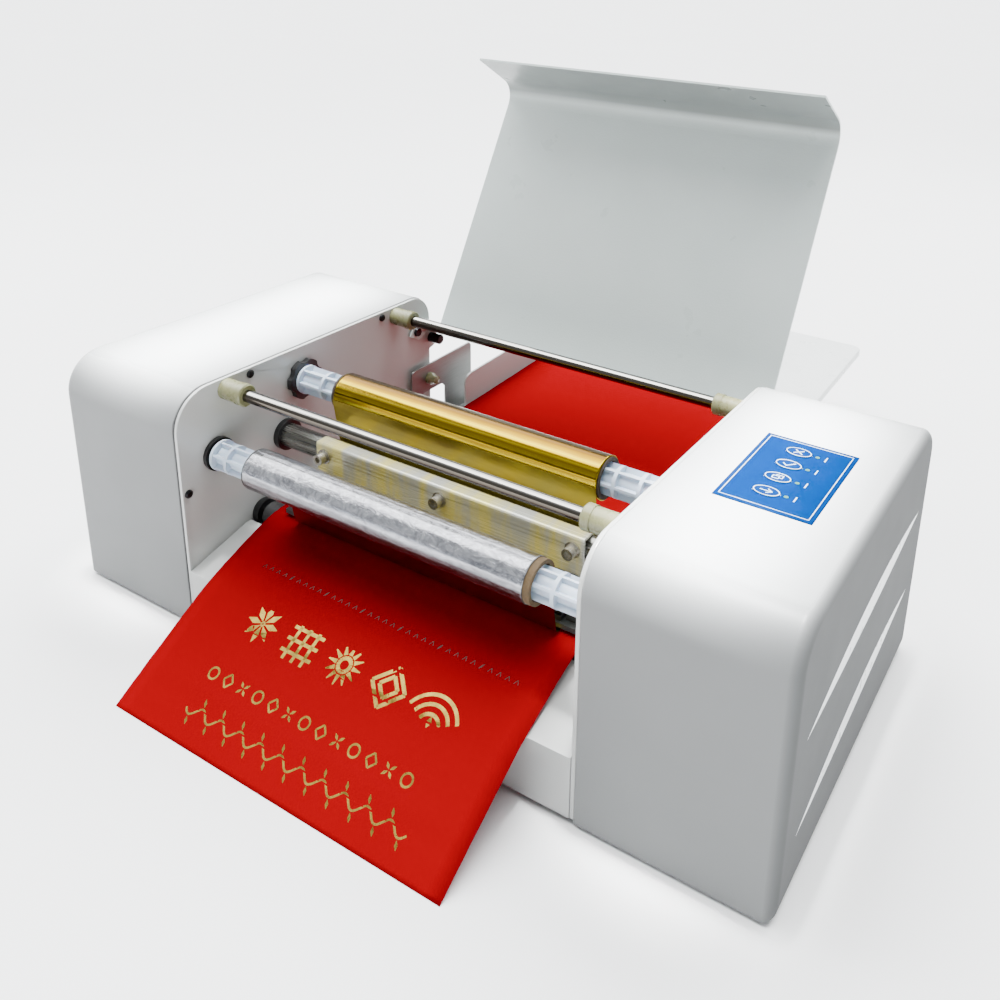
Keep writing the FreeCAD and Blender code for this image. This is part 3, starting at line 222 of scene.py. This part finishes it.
def paint_light_bands(graph, stops, wobble=0.0, axis=(0, 0, 1)):
    """Painted light: darken the colour in bands by the way the surface faces, as painted reflections of
    what a polished roll picks up round it, or as painted shade.
    """
    paint = graph.shader.inputs["Base Color"].links[0].from_socket
    geometry = graph.add("ShaderNodeNewGeometry")
    facing = graph.add("ShaderNodeVectorMath", operation="DOT_PRODUCT")
    facing.inputs[1].default_value = axis
    graph.link(geometry.outputs["Normal"], facing.inputs[0])
    level = graph.between(facing.outputs["Value"], 0, 1, -1, 1)
    if wobble:
        shift = graph.add("ShaderNodeMath", operation="MULTIPLY_ADD")
        shift.inputs[1].default_value = wobble
        graph.link(graph.noise((26, 150, 150), 5, 0.65), shift.inputs[0])
        graph.link(level, shift.inputs[2])
        level = shift.outputs[0]
    bands = graph.add("ShaderNodeValToRGB")
    elements = bands.color_ramp.elements
    elements[0].position, elements[0].color = stops[0][0], (*stops[0][1], 1)
    elements[1].position, elements[1].color = stops[-1][0], (*stops[-1][1], 1)
    for place, shade in stops[1:-1]:
        elements.new(place).color = (*shade, 1)
    graph.link(level, bands.inputs["Fac"])
    mix = graph.add("ShaderNodeVectorMath", operation="MULTIPLY")
    graph.link(paint, mix.inputs[0])
    graph.link(bands.outputs["Color"], mix.inputs[1])
    graph.link(mix.outputs["Vector"], graph.shader.inputs["Base Color"])


def grey(level):
    return (level, level, level)


# Ramp stops by the way the surface faces: painted reflections on the gold roll, the silver roll and the rod
GOLD_PAINTED_REFLECTION = ((0.0, (0.5, 0.42, 0.4)), (0.40, (0.75, 0.7, 0.6)), (0.5, grey(1.0)), (0.585, grey(1.0)),
              (0.625, (0.3, 0.22, 0.16)), (0.655, grey(1.0)), (0.70, (0.36, 0.27, 0.2)), (0.745, grey(0.8)),
              (0.80, (0.42, 0.34, 0.28)), (0.84, grey(1.1)), (0.885, (0.5, 0.42, 0.3)), (0.93, grey(0.9)),
              (0.965, (0.4, 0.32, 0.24)), (1.0, (0.22, 0.15, 0.1)))
SILVER_PAINTED_REFLECTION = ((0.0, (0.5, 0.3, 0.3)), (0.24, (0.42, 0.26, 0.27)), (0.38, (0.12, 0.085, 0.09)),
                (0.54, (0.17, 0.13, 0.135)), (0.62, grey(0.4)), (0.70, grey(0.85)),
                (0.77, (0.6, 0.62, 0.66)), (0.83, grey(1.15)), (0.93, grey(0.9)), (1.0, grey(0.6)))
ROD_PAINTED_REFLECTION = ((0.0, grey(0.5)), (0.3, (0.2, 0.17, 0.15)), (0.45, (0.13, 0.105, 0.09)),
             (0.57, (0.28, 0.25, 0.22)),
             (0.7, (0.42, 0.38, 0.34)), (0.8, (0.3, 0.27, 0.24)), (0.9, grey(1.5)),
             (0.96, grey(1.0)), (1.0, grey(0.45)))


# Ramp stops for painted shade on the lid where its face turns downward
LID_PAINTED_SHADE = ((0.0, grey(0.36)), (0.32, grey(0.4)), (0.5, grey(1.0)), (1.0, grey(1.0)))


def even(scale):
    return (scale, scale, scale)


def plain(name, colour, rough, metal=0.0, mottle=0.06, patch=40, grain=900, depth=0.02, sockets=None):
    """A surface with faint patches in colour and gloss and a fine grain."""
    graph = Graph(name)
    graph.fixed(Metallic=metal, **(sockets or {}))
    patches = graph.noise(even(patch), 4)
    dark = [c * (1 - mottle) for c in colour]
    light = [min(1, c * (1 + mottle)) for c in colour]
    graph.link(graph.tint(patches, dark, light), graph.shader.inputs["Base Color"])
    graph.link(graph.between(graph.noise(even(patch * 3), 3), rough * 0.85, rough * 1.15),
               graph.shader.inputs["Roughness"])
    graph.bump(graph.noise(even(grain), 2), depth)
    return graph


def brushed(name, colour, rough, scale, depth=0.004, metal=1.0, mottle=0.12):
    """Metal with fine lines along the axis whose scale is small."""
    graph = Graph(name)
    graph.fixed(Metallic=metal)
    lines = graph.noise(scale, 4, 0.65)
    dark = [c * (1 - mottle) for c in colour]
    graph.link(graph.tint(lines, dark, colour), graph.shader.inputs["Base Color"])
    graph.link(graph.between(lines, rough * 0.75, rough * 1.3), graph.shader.inputs["Roughness"])
    graph.bump(lines, depth)
    return graph


def painted_gloss():
    """Gloss white with painted shade: its colour is darkened on the faces turned to the front and the
    right, where less light falls, and it is less glossy there.
    """
    graph = plain("white_gloss", (0.40, 0.415, 0.418), 0.22, mottle=0.012, patch=9, grain=420, depth=0.004)
    graph.bump(graph.noise(even(2600), 2), 0.002)
    paint = graph.shader.inputs["Base Color"].links[0].from_socket
    rough = graph.shader.inputs["Roughness"].links[0].from_socket
    geometry = graph.add("ShaderNodeNewGeometry")
    # painted shade: scale the paint down on faces turned to the right (to 0.2) and to the front (to 0.42);
    # the roughness rises there too
    for heading, shade, dull in (((1, 0, 0), 0.2, 0.6), ((0, -1, 0), 0.42, 0.3)):
        facing = graph.add("ShaderNodeVectorMath", operation="DOT_PRODUCT")
        facing.inputs[1].default_value = heading
        graph.link(geometry.outputs["Normal"], facing.inputs[0])
        weight = graph.between(facing.outputs["Value"], 1, shade, 0.1, 1)
        scaled = graph.add("ShaderNodeVectorMath", operation="SCALE")
        graph.link(paint, scaled.inputs[0])
        graph.link(weight, scaled.inputs["Scale"])
        paint = scaled.outputs["Vector"]
        blunted = graph.add("ShaderNodeMath", operation="ADD")
        graph.link(rough, blunted.inputs[0])
        graph.link(graph.between(facing.outputs["Value"], 0, dull, 0.1, 1), blunted.inputs[1])
        rough = blunted.outputs[0]
    graph.link(paint, graph.shader.inputs["Base Color"])
    graph.link(rough, graph.shader.inputs["Roughness"])
    return graph


def painted_satin():
    return plain("white_paint", (0.44, 0.45, 0.44), 0.2, mottle=0.02, patch=12, grain=1500, depth=0.004,
                 sockets={"Coat_Weight": 0.4, "Coat_Roughness": 0.1})


def lid_texture():
    """Pale powder coat with the fine pebbled texture of the lid, with painted shade darkening it where it
    is turned down.
    """
    graph = plain("textured_lid", (0.47, 0.525, 0.51), 0.32, mottle=0.03, patch=14, grain=1700, depth=0.02)
    cells = graph.add("ShaderNodeTexVoronoi")
    cells.inputs["Scale"].default_value = 1.0
    graph.link(graph.stretched(even(620)), cells.inputs["Vector"])
    graph.bump(cells.outputs["Distance"], 0.07)
    # painted shade: darker where the face turns down
    paint_light_bands(graph, LID_PAINTED_SHADE)
    return graph


def red_card():
    return plain("red_sheet", (0.2, 0.0, 0.003), 0.34, mottle=0.03, patch=8, grain=1100, depth=0.006,
                 sockets={"Specular_IOR_Level": 0.0})


def gold_foil():
    graph = Graph("gold_foil")
    graph.fixed(Metallic=1.0)
    streaks = graph.noise((2.5, 210, 210), 4, 0.6)
    paint = graph.tint(streaks, (0.38, 0.26, 0.008), (0.58, 0.43, 0.02))
    graph.link(paint, graph.shader.inputs["Base Color"])
    graph.link(graph.between(streaks, 0.12, 0.24), graph.shader.inputs["Roughness"])
    graph.bump(streaks, 0.1)
    graph.bump(graph.noise((620, 90, 90), 3), 0.045)
    # painted reflection: bright and dark-brown bands in the colour by the way the roll faces
    paint_light_bands(graph, GOLD_PAINTED_REFLECTION, 0.03)
    return graph


def silver_foil():
    """Wound foil, back side out: fine creases that break up the long bands of painted reflection in its
    colour.
    """
    graph = Graph("silver_foil")
    graph.fixed(Metallic=0.9)
    creases = graph.noise((120, 190, 190), 7, 0.7, 1.1)
    paint = graph.tint(creases, (0.25, 0.25, 0.275), (0.60, 0.61, 0.64))
    graph.link(paint, graph.shader.inputs["Base Color"])
    graph.link(graph.between(creases, 0.1, 0.22), graph.shader.inputs["Roughness"])
    graph.bump(creases, 0.3)
    graph.bump(graph.noise((240, 420, 420), 4), 0.06)
    # painted reflection: bands of light and shade by the way the roll faces, reddish low down where the
    # card would be reflected
    paint_light_bands(graph, SILVER_PAINTED_REFLECTION, 0.16)
    return graph


def polished_rod():
    graph = brushed("bright_rod", (0.36, 0.35, 0.325), 0.1, (6, 900, 900), mottle=0.2)
    # painted reflection: a bright highlight line near the top and dark streaks below, by the way the rod
    # faces
    paint_light_bands(graph, ROD_PAINTED_REFLECTION)
    return graph


def gold_web():
    """The same foil off the roll: slack, so it reflects less sharply."""
    graph = Graph("gold_web")
    graph.fixed(Metallic=0.6)
    ripples = graph.noise((9, 60, 34), 4, 0.55, 0.8)
    paint = graph.tint(ripples, (0.22, 0.15, 0.01), (0.50, 0.40, 0.04))
    graph.link(paint, graph.shader.inputs["Base Color"])
    graph.link(graph.between(ripples, 0.16, 0.3), graph.shader.inputs["Roughness"])
    graph.bump(ripples, 0.35)
    return graph


def used_film():
    return plain("used_film", (0.42, 0.33, 0.05), 0.1, metal=1.0, mottle=0.1, patch=60, grain=120,
                 depth=0.02)


def cardboard():
    """A wound paper tube with a rough, fibrous face."""
    return plain("cardboard_core", (0.085, 0.053, 0.021), 0.82, mottle=0.18, patch=260, grain=1400,
                 depth=0.09)


def spindle_plastic():
    return plain("spindle_plastic", (0.48, 0.56, 0.66), 0.32, mottle=0.03, patch=60, grain=500, depth=0.01,
                 sockets={"Subsurface_Weight": 0.12, "Subsurface_Scale": 0.003})


def nylon():
    return plain("cream_nylon", (0.17, 0.17, 0.085), 0.28, mottle=0.05, patch=70, grain=700, depth=0.01,
                 sockets={"Subsurface_Weight": 0.06, "Subsurface_Scale": 0.002})


def bracket_steel():
    """Bright brushed sheet whose grain runs across its width, with yellow patches painted in as a
    reflection of the gold foil.
    """
    graph = Graph("brushed_bracket")
    graph.fixed(Metallic=0.3)
    # painted reflection: noise patches tinted yellow stand in for the gold foil reflected in the bracket
    painted_gold_reflection = graph.noise((75, 12, 16), 3, 0.5)
    paint = graph.tint(painted_gold_reflection, (0.50, 0.51, 0.47), (0.72, 0.65, 0.24), 0.4, 0.62)
    graph.link(paint, graph.shader.inputs["Base Color"])
    lines = graph.noise((14, 520, 520), 4)
    graph.link(graph.between(lines, 0.2, 0.34), graph.shader.inputs["Roughness"])
    graph.bump(lines, 0.004)
    return graph


def make_materials():
    graphs = [painted_gloss(), painted_satin(), lid_texture(), red_card(), gold_foil(), silver_foil(),
              gold_web(), used_film(), cardboard(), spindle_plastic(), nylon(), bracket_steel(),
              polished_rod()]
    graphs += [
        brushed("satin_steel", (0.24, 0.24, 0.22), 0.28, (30, 900, 900), depth=0.002, mottle=0.2),
        brushed("bearing_steel", (0.30, 0.31, 0.31), 0.25, (700, 700, 700)),
        brushed("spring_steel", (0.28, 0.28, 0.28), 0.3, (800, 800, 800)),
        brushed("zinc_steel", (0.27, 0.275, 0.27), 0.4, (60, 60, 700), metal=0.85, mottle=0.2),
        brushed("anodised", (0.09, 0.092, 0.095), 0.4, (20, 500, 500)),
        brushed("aluminium_pulley", (0.36, 0.37, 0.38), 0.3, (900, 90, 90)),
        brushed("brass_gear", (0.36, 0.24, 0.07), 0.32, (900, 90, 90)),
        plain("black_screw", (0.008, 0.008, 0.009), 0.3, metal=0.6, mottle=0.3, patch=300),
        plain("black_rubber", (0.006, 0.006, 0.0065), 0.6, mottle=0.25, patch=120, depth=0.05),
        plain("black_plastic", (0.0045, 0.0045, 0.005), 0.4, mottle=0.2, patch=160, depth=0.03),
        plain("dark_board", (0.01, 0.012, 0.011), 0.45, mottle=0.3, patch=200),
        plain("gear_plastic", (0.42, 0.42, 0.37), 0.4, mottle=0.04, patch=90),
        plain("motor_black", (0.009, 0.009, 0.01), 0.4, mottle=0.25, patch=120),
        plain("blue_membrane", (0.0, 0.0105, 0.055), 0.5, mottle=0.05, patch=50, grain=1600, depth=0.008,
              sockets={"Specular_IOR_Level": 0.0}),
        plain("green_board", (0.006, 0.05, 0.018), 0.35, mottle=0.25, patch=240),
        plain("socket_black", (0.007, 0.007, 0.0075), 0.45, mottle=0.2, patch=160),
        plain("dark_core", (0.03, 0.018, 0.01), 0.7, mottle=0.2, patch=200, grain=1200, depth=0.06),
        brushed("bright_screw", (0.50, 0.48, 0.42), 0.22, (400, 400, 400), metal=0.85),
        plain("pale_tray", (0.72, 0.75, 0.745), 0.3, mottle=0.015, patch=12, grain=1200, depth=0.006),
        # painted light: a bright copy of the white paint for the groove walls, standing in for the light
        # their upturned walls catch
        plain("lit_facet", (0.86, 0.88, 0.88), 0.3, mottle=0.02, patch=30, grain=700, depth=0.01),
        plain("white_print", (0.24, 0.29, 0.33), 0.45, mottle=0.05, patch=300),
        plain("gold_print", (0.19, 0.13, 0.022), 0.3, metal=0.85, mottle=0.3, patch=160, depth=0.03),
        plain("dull_print", (0.028, 0.003, 0.002), 0.42, metal=0.5, mottle=0.3, patch=260, depth=0.03),
        plain("floor", (0.94, 0.945, 0.95), 0.7, mottle=0.006, patch=2, grain=60, depth=0.02),
    ]
    return {graph.name: graph.material for graph in graphs}


MATERIALS = make_materials()


def dress(thing, name):
    thing.data.materials.clear()
    thing.data.materials.append(MATERIALS[name])


def dress_cad_nodes():
    """Every carried-over node takes its record slot's material; sheet edges are softened."""
    for row in frame["record"]["subparts"]:
        dress(NODES[row["node"]], row["material_slot"])
    dress(NODES["supply_web"], "gold_web")
    dress(NODES["supply_core"], "dark_core")
    dress(NODES["head_screws"], "bright_screw")
    dress(NODES["feed_tray"], "pale_tray")
    softened = {"left_side_plate": 0.4, "right_side_plate": 0.4, "front_fascia": 0.6,
                "paper_bed": 0.5, "paper_guide": 0.4, "tray_brackets": 0.3, "head_bracket": 0.3,
                "feed_tray": 0.5, "keypad_overlay": 0.25, "motor_bracket": 0.3}
    for node, width in softened.items():
        weld = NODES[node].modifiers.new("weld", "WELD")
        weld.merge_threshold = 1e-6
        bevel = NODES[node].modifiers.new("bevel", "BEVEL")
        bevel.width = width * MM
        bevel.segments = 2
        bevel.limit_method = "ANGLE"
        bevel.angle_limit = math.radians(50)
        bevel.harden_normals = True


# ---- mesh helpers ----

def new_piece(name, verts, faces, material, body, smooth=True):
    mesh = bpy.data.meshes.new(name)
    mesh.from_pydata([tuple(v) for v in verts], [], faces)
    mesh.validate()
    if smooth:
        mesh.polygons.foreach_set("use_smooth", [True] * len(mesh.polygons))
    thing = bpy.data.objects.new(name, mesh)
    bpy.context.scene.collection.objects.link(thing)
    dress(thing, material)
    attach(thing, body)
    return thing


def solidify(thing, thickness, offset=-1.0):
    modifier = thing.modifiers.new("thickness", "SOLIDIFY")
    modifier.thickness = thickness
    modifier.offset = offset


def node_points(node):
    mesh = NODES[node].data
    points = np.empty(len(mesh.vertices) * 3)
    mesh.vertices.foreach_get("co", points)
    return points.reshape(-1, 3)


# ---- the printed card ----

class CardLine:
    """The card's upper side as a line in the YZ plane, read from the frame."""

    def __init__(self):
        points = node_points("printed_sheet")
        self.left, self.right = points[:, 0].min(), points[:, 0].max()
        order = np.argsort(points[:, 1])
        y, z = points[order, 1], points[order, 2]
        pairs = []
        for here, height in zip(y, z):
            if pairs and here - pairs[-1][0] < 0.4 * MM:
                pairs[-1][1] = max(pairs[-1][1], height)
            else:
                pairs.append([here, height])
        self.y, self.z = np.array(pairs).T
        steps = np.hypot(np.diff(self.y), np.diff(self.z))
        self.s = np.concatenate([[0], np.cumsum(steps)])

    def at(self, x, s, lift=0.0):
        """The point a distance s along the card from its front edge."""
        y, z = np.interp(s, self.s, self.y), np.interp(s, self.s, self.z)
        step = 1.5 * MM
        dy = np.interp(s + step, self.s, self.y) - np.interp(s - step, self.s, self.y)
        dz = np.interp(s + step, self.s, self.z) - np.interp(s - step, self.s, self.z)
        size = max(math.hypot(dy, dz), 1e-9)
        return x, y - dz / size * lift, z + dy / size * lift


CARD = CardLine()


def card_sheet():
    columns, rows = 24, 190
    verts, faces = [], []
    for i in range(rows + 1):
        for j in range(columns + 1):
            x = CARD.left + (CARD.right - CARD.left) * j / columns
            verts.append(CARD.at(x, CARD.s[-1] * i / rows))
    for i in range(rows):
        for j in range(columns):
            a = i * (columns + 1) + j
            faces.append((a, a + 1, a + columns + 2, a + columns + 1))
    card = new_piece("card", verts, faces, "red_sheet", "frame")
    solidify(card, 0.3 * MM)
    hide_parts("printed_sheet")


INK_LIFT = 0.03 * MM


class Print:
    """Foil strokes laid on the card: quads along lines, in millimetres."""

    def __init__(self):
        self.verts, self.faces = [], []

    def stroke(self, points, start_width, end_width=None, step=2.0):
        end_width = start_width if end_width is None else end_width
        points = [np.array(p, float) for p in points]
        lengths = [np.linalg.norm(b - a) for a, b in zip(points, points[1:])]
        total, done = sum(lengths), 0.0
        for a, b, length in zip(points, points[1:], lengths):
            if length < 1e-6:
                continue
            side = np.array([-(b - a)[1], (b - a)[0]]) / length
            count = max(1, round(length / step))
            first = len(self.verts)
            for i in range(count + 1):
                share = (done + length * i / count) / total
                half = (start_width + (end_width - start_width) * share) / 2
                centre = a + (b - a) * i / count
                for sign in (-1, 1):
                    u, v = centre + side * half * sign
                    self.verts.append(CARD.at(u * MM, v * MM, INK_LIFT))
            for i in range(count):
                k = first + 2 * i
                self.faces.append((k, k + 1, k + 3, k + 2))
            done += length

    def arc(self, centre, radius, start, end, width, count=20):
        angles = np.radians(np.linspace(start, end, count + 1))
        points = [(centre[0] + radius * math.cos(a), centre[1] + radius * math.sin(a)) for a in angles]
        self.stroke(points, width)

    def petal(self, centre, angle, inner, outer, width):
        a = math.radians(angle)
        heading = np.array([math.cos(a), math.sin(a)])
        middle = (inner + outer) / 2
        base = np.array(centre, float)
        self.stroke([base + heading * inner, base + heading * middle], 0.4, width)
        self.stroke([base + heading * middle, base + heading * outer], width, 0.4)

    def finish(self, name, material):
        piece = new_piece(name, self.verts, self.faces, material, "frame", smooth=False)
        solidify(piece, 0.05 * MM, 1.0)


def rosette(ink, x, y, size):
    for i in range(8):
        ink.petal((x, y), i * 45, size * 0.16, size, size * 0.34)
    ink.arc((x, y), size * 0.1, 0, 360, 1.6, 10)


def lattice(ink, x, y, size):
    for k in (-1, 0, 1):
        ink.stroke([(x + k * size * 0.6, y - size), (x + k * size * 0.6, y + size)], 2.6)
        ink.stroke([(x - size, y + k * size * 0.6), (x + size, y + k * size * 0.6)], 2.6)


def sunburst(ink, x, y, size):
    for i in range(12):
        a = math.radians(i * 30)
        ink.stroke([(x + size * 0.5 * math.cos(a), y + size * 0.5 * math.sin(a)),
                    (x + size * math.cos(a), y + size * math.sin(a))], 3.4, 0.8)
    ink.arc((x, y), size * 0.34, 0, 360, 3)


def diamonds(ink, x, y, size):
    for reach in (1.0, 0.55):
        r = size * reach
        ink.stroke([(x - r, y), (x, y + r), (x + r, y), (x, y - r), (x - r, y)], 2.8)


def fan(ink, x, y, size):
    for r in (0.4, 0.7, 1.0):
        ink.arc((x, y - size * 0.8), size * r * 1.5, 25, 155, 2.6, 14)
    ink.petal((x, y - size * 0.8), 90, 0, size * 0.5, size * 0.3)


MAIN_ROW = (rosette, lattice, sunburst, diamonds, fan)
MAIN_START, MAIN_PITCH, MAIN_LEVEL, MAIN_SIZE = -84, 40.5, 92, 14.5
BEAD_COUNT, BEAD_START, BEAD_PITCH, BEAD_LEVEL = 13, -95, 15, 48.5
VINE_COUNT, VINE_START, VINE_PITCH, VINE_LEVEL = 21, -98, 9.6, 22
WORN_COUNT, WORN_START, WORN_PITCH = 34, -119, 7.2


def card_print():
    """Rows of generic ornament where the sample card is stamped."""
    bright = Print()
    for i, motif in enumerate(MAIN_ROW):
        motif(bright, MAIN_START + i * MAIN_PITCH, MAIN_LEVEL, MAIN_SIZE)
    for i in range(BEAD_COUNT):
        x, y = BEAD_START + i * BEAD_PITCH, BEAD_LEVEL
        if i % 3 == 0:
            bright.arc((x, y), 4.2, 0, 360, 1.5, 12)
        elif i % 3 == 1:
            bright.stroke([(x - 4.4, y), (x, y + 4.9), (x + 4.4, y), (x, y - 4.9), (x - 4.4, y)], 1.4)
        else:
            for k in range(4):
                bright.petal((x, y), 45 + 90 * k, 0.8, 5.6, 2.2)
    for i in range(VINE_COUNT):
        x, y, bend = VINE_START + i * VINE_PITCH, VINE_LEVEL, 1 if i % 2 else -1
        wave = [(x + t * VINE_PITCH, y + bend * 3.4 * math.sin(math.pi * t)) for t in np.linspace(0, 1, 7)]
        bright.stroke(wave, 1.5)
        bright.petal((x + VINE_PITCH / 2, y + bend * 4), 90 * bend + 25, 0.8, 6.4, 2.4)
    bright.finish("foil_print", "gold_print")
    dull = Print()
    for i in range(WORN_COUNT):
        x = WORN_START + i * WORN_PITCH
        if i % 5 == 4:
            dull.petal((x, 131), 60, -2.6, 2.6, 1.6)
        else:
            dull.stroke([(x - 1.6, 129.4), (x + 0.4, 132.8), (x + 1.8, 129.6)], 0.6)
    dull.finish("worn_print", "dull_print")


# ---- foil rolls ----

def foil_roll(name, node, body, material, ripple_mm, long_wave):
    """A wound roll: shallow ridges round it, and the layered ends."""
    low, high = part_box(node)
    centre_y, centre_z = (low.y + high.y) / 2, (low.z + high.z) / 2
    radius = (high.z - low.z) / 2
    core_low, core_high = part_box(node.replace("foil", "core"))
    bore = (core_high.z - core_low.z) / 2 + 0.02 * MM
    around, length = 144, 150
    waves = [(RNG.integers(2, 26), RNG.uniform(0, math.tau), RNG.uniform(0.3, 1), RNG.uniform(-1, 1))
             for _ in range(14)]
    verts, faces = [], []
    for i in range(length + 1):
        share = i / length
        x = low.x + (high.x - low.x) * share
        for j in range(around):
            angle = math.tau * j / around
            swell = sum(w * math.cos(n * angle + p + d * share * long_wave) for n, p, w, d in waves) / 7
            r = radius - ripple_mm * MM * (0.5 + 0.5 * max(-1, min(1, swell)))
            verts.append((x, centre_y + r * math.cos(angle), centre_z + r * math.sin(angle)))
    for i in range(length):
        for j in range(around):
            a, b = i * around + j, i * around + (j + 1) % around
            faces.append((a, b, b + around, a + around))
    for x, end, outward in ((low.x, 0, -1), (high.x, length, 1)):
        rim = [end * around + j for j in range(around)]
        rings = 4
        for k in range(1, rings + 1):
            r = radius - 0.5 * ripple_mm * MM + (bore - radius) * k / rings
            inset = 0.0 if k == rings else (0.12 if k % 2 else 0.02) * MM
            first = len(verts)
            for j in range(around):
                angle = math.tau * j / around
                y, z = centre_y + r * math.cos(angle), centre_z + r * math.sin(angle)
                verts.append((x - outward * inset, y, z))
            now = list(range(first, first + around))
            for j in range(around):
                loop = (rim[j], rim[(j + 1) % around], now[(j + 1) % around], now[j])
                faces.append(loop if outward > 0 else loop[::-1])
            rim = now
        if end == 0:
            inner_left = rim
    for j in range(around):
        faces.append((inner_left[j], rim[j], rim[(j + 1) % around], inner_left[(j + 1) % around]))
    roll = new_piece(name, verts, faces, material, body)
    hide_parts(node)


# ---- groove facets ----

GROOVES = (((272.6, 136), (26.5, 116.3)), ((266.4, 70.5), (26.9, 46.7)))
GROOVE_UP, GROOVE_DOWN = 10.4, 5
FACET_INSET, FACET_SINK = 0.16, 0.5


def groove_facets():
    """The lit facet across each groove of the right housing, nearly flush at its lower lip; its bright
    colour is painted light, for the light the groove's upturned wall catches.
    """
    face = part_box("right_cover")[1].x
    verts, faces = [], []
    for (rear, rear_z), (front, front_z) in GROOVES:
        first, count = len(verts), 48
        for i in range(count + 1):
            share = i / count
            along = rear + (front - rear) * share
            level = rear_z + (front_z - rear_z) * share
            swell = 4 * share * (1 - share)
            low, high = level - GROOVE_DOWN * swell, level + GROOVE_UP * swell
            y = (along - FRONT_TO_ORIGIN) * MM
            verts.append((face - FACET_INSET * MM, y, low * MM))
            verts.append((face - FACET_SINK * min(1, swell * 2) * MM, y, high * MM))
        for i in range(count):
            k = first + 2 * i
            faces.append((k, k + 2, k + 3, k + 1))
    facets = new_piece("groove_facets", verts, faces, "lit_facet", "frame", smooth=False)
    solidify(facets, 0.08 * MM)


# ---- keypad print ----

PRINT_HEIGHT = 0.06 * MM


class Flat:
    """Thin printed shapes on a level surface, in millimetres from a centre."""

    def __init__(self, place):
        self.place = place
        self.verts, self.faces = [], []

    def line(self, points, width):
        points = [np.array(p, float) for p in points]
        for a, b in zip(points, points[1:]):
            run = (b - a) / np.linalg.norm(b - a)
            side = np.array([-run[1], run[0]]) * width / 2
            reach = run * width / 2
            first = len(self.verts)
            for u, v in (a - side - reach, b - side + reach, b + side + reach, a + side - reach):
                self.verts.append((self.place[0] + u * MM, self.place[1] + v * MM, self.place[2]))
            self.faces.append((first, first + 1, first + 2, first + 3))

    def oval(self, wide, deep, width, count=48):
        first = len(self.verts)
        for i in range(count + 1):
            angle = math.tau * i / count
            for grow in (-width / 2, width / 2):
                self.verts.append((self.place[0] + (wide + grow) * math.cos(angle) * MM,
                                   self.place[1] + (deep + grow) * math.sin(angle) * MM, self.place[2]))
        for i in range(count):
            k = first + 2 * i
            self.faces.append((k, k + 1, k + 3, k + 2))

    def finish(self, name, body):
        piece = new_piece(name, self.verts, self.faces, "white_print", body, smooth=False)
        solidify(piece, PRINT_HEIGHT, 1.0)


def icon(shape, kind):
    if kind == "start":
        shape.line([(-4.2, 0), (3, 0)], 0.7)
        shape.line([(0.6, 2.4), (3.8, 0), (0.6, -2.4)], 0.7)
    elif kind == "copy":
        shape.line([(-3.6, -2.2), (-3.6, 1.2), (0.8, 1.2), (0.8, -2.2), (-3.6, -2.2)], 0.6)
        shape.line([(-1.6, 1.4), (-1.6, 2.8), (3.2, 2.8), (3.2, -0.8), (1, -0.8)], 0.6)
    elif kind == "test":
        shape.line([(-3.6, 0), (-1, -2.4), (3.8, 2.6)], 0.8)
    else:
        shape.line([(-2.8, -2.4), (2.8, 2.4)], 0.8)
        shape.line([(-2.8, 2.4), (2.8, -2.4)], 0.8)


def keypad_print():
    low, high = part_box("keypad_overlay")
    centre = ((low.x + high.x) / 2, (low.y + high.y) / 2, high.z)
    border = Flat(centre)
    wide, deep = (high.x - low.x) / MM / 2 - 3.2, (high.y - low.y) / MM / 2 - 3.2
    border.line([(-wide, -deep), (wide, -deep), (wide, deep), (-wide, deep), (-wide, -deep)], 0.6)
    for i, body in enumerate(("key_one", "key_two", "key_three", "key_four"), 1):
        key_low, key_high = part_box(f"key_{i}")
        middle = ((key_low.x + key_high.x) / 2, (key_low.y + key_high.y) / 2, key_high.z)
        shape = Flat(middle)
        shape.oval((key_high.x - key_low.x) / MM / 2 - 0.7, (key_high.y - key_low.y) / MM / 2 - 0.7, 0.6)
        icon(shape, ("start", "copy", "test", "stop")[i - 1])
        shape.finish(f"key_{i}_print", body)
        offset = np.array([(middle[0] - centre[0]) / MM, (middle[1] - centre[1]) / MM])
        for k in (-1, 1):
            border.line([offset + (19.5, 1.6 * k - 1.2), offset + (19.5, 1.6 * k + 1.2)], 0.9)
    border.finish("keypad_border", "frame")


# ---- assembly ----

add_camera()
add_light()
dress(add_floor(), "floor")
dress_cad_nodes()
card_sheet()
card_print()
foil_roll("gold_roll", "supply_foil", "supply_roll", "gold_foil", 0.16, 3)
foil_roll("silver_roll", "takeup_foil", "takeup_roll", "silver_foil", 0.3, 9)
keypad_print()
groove_facets()
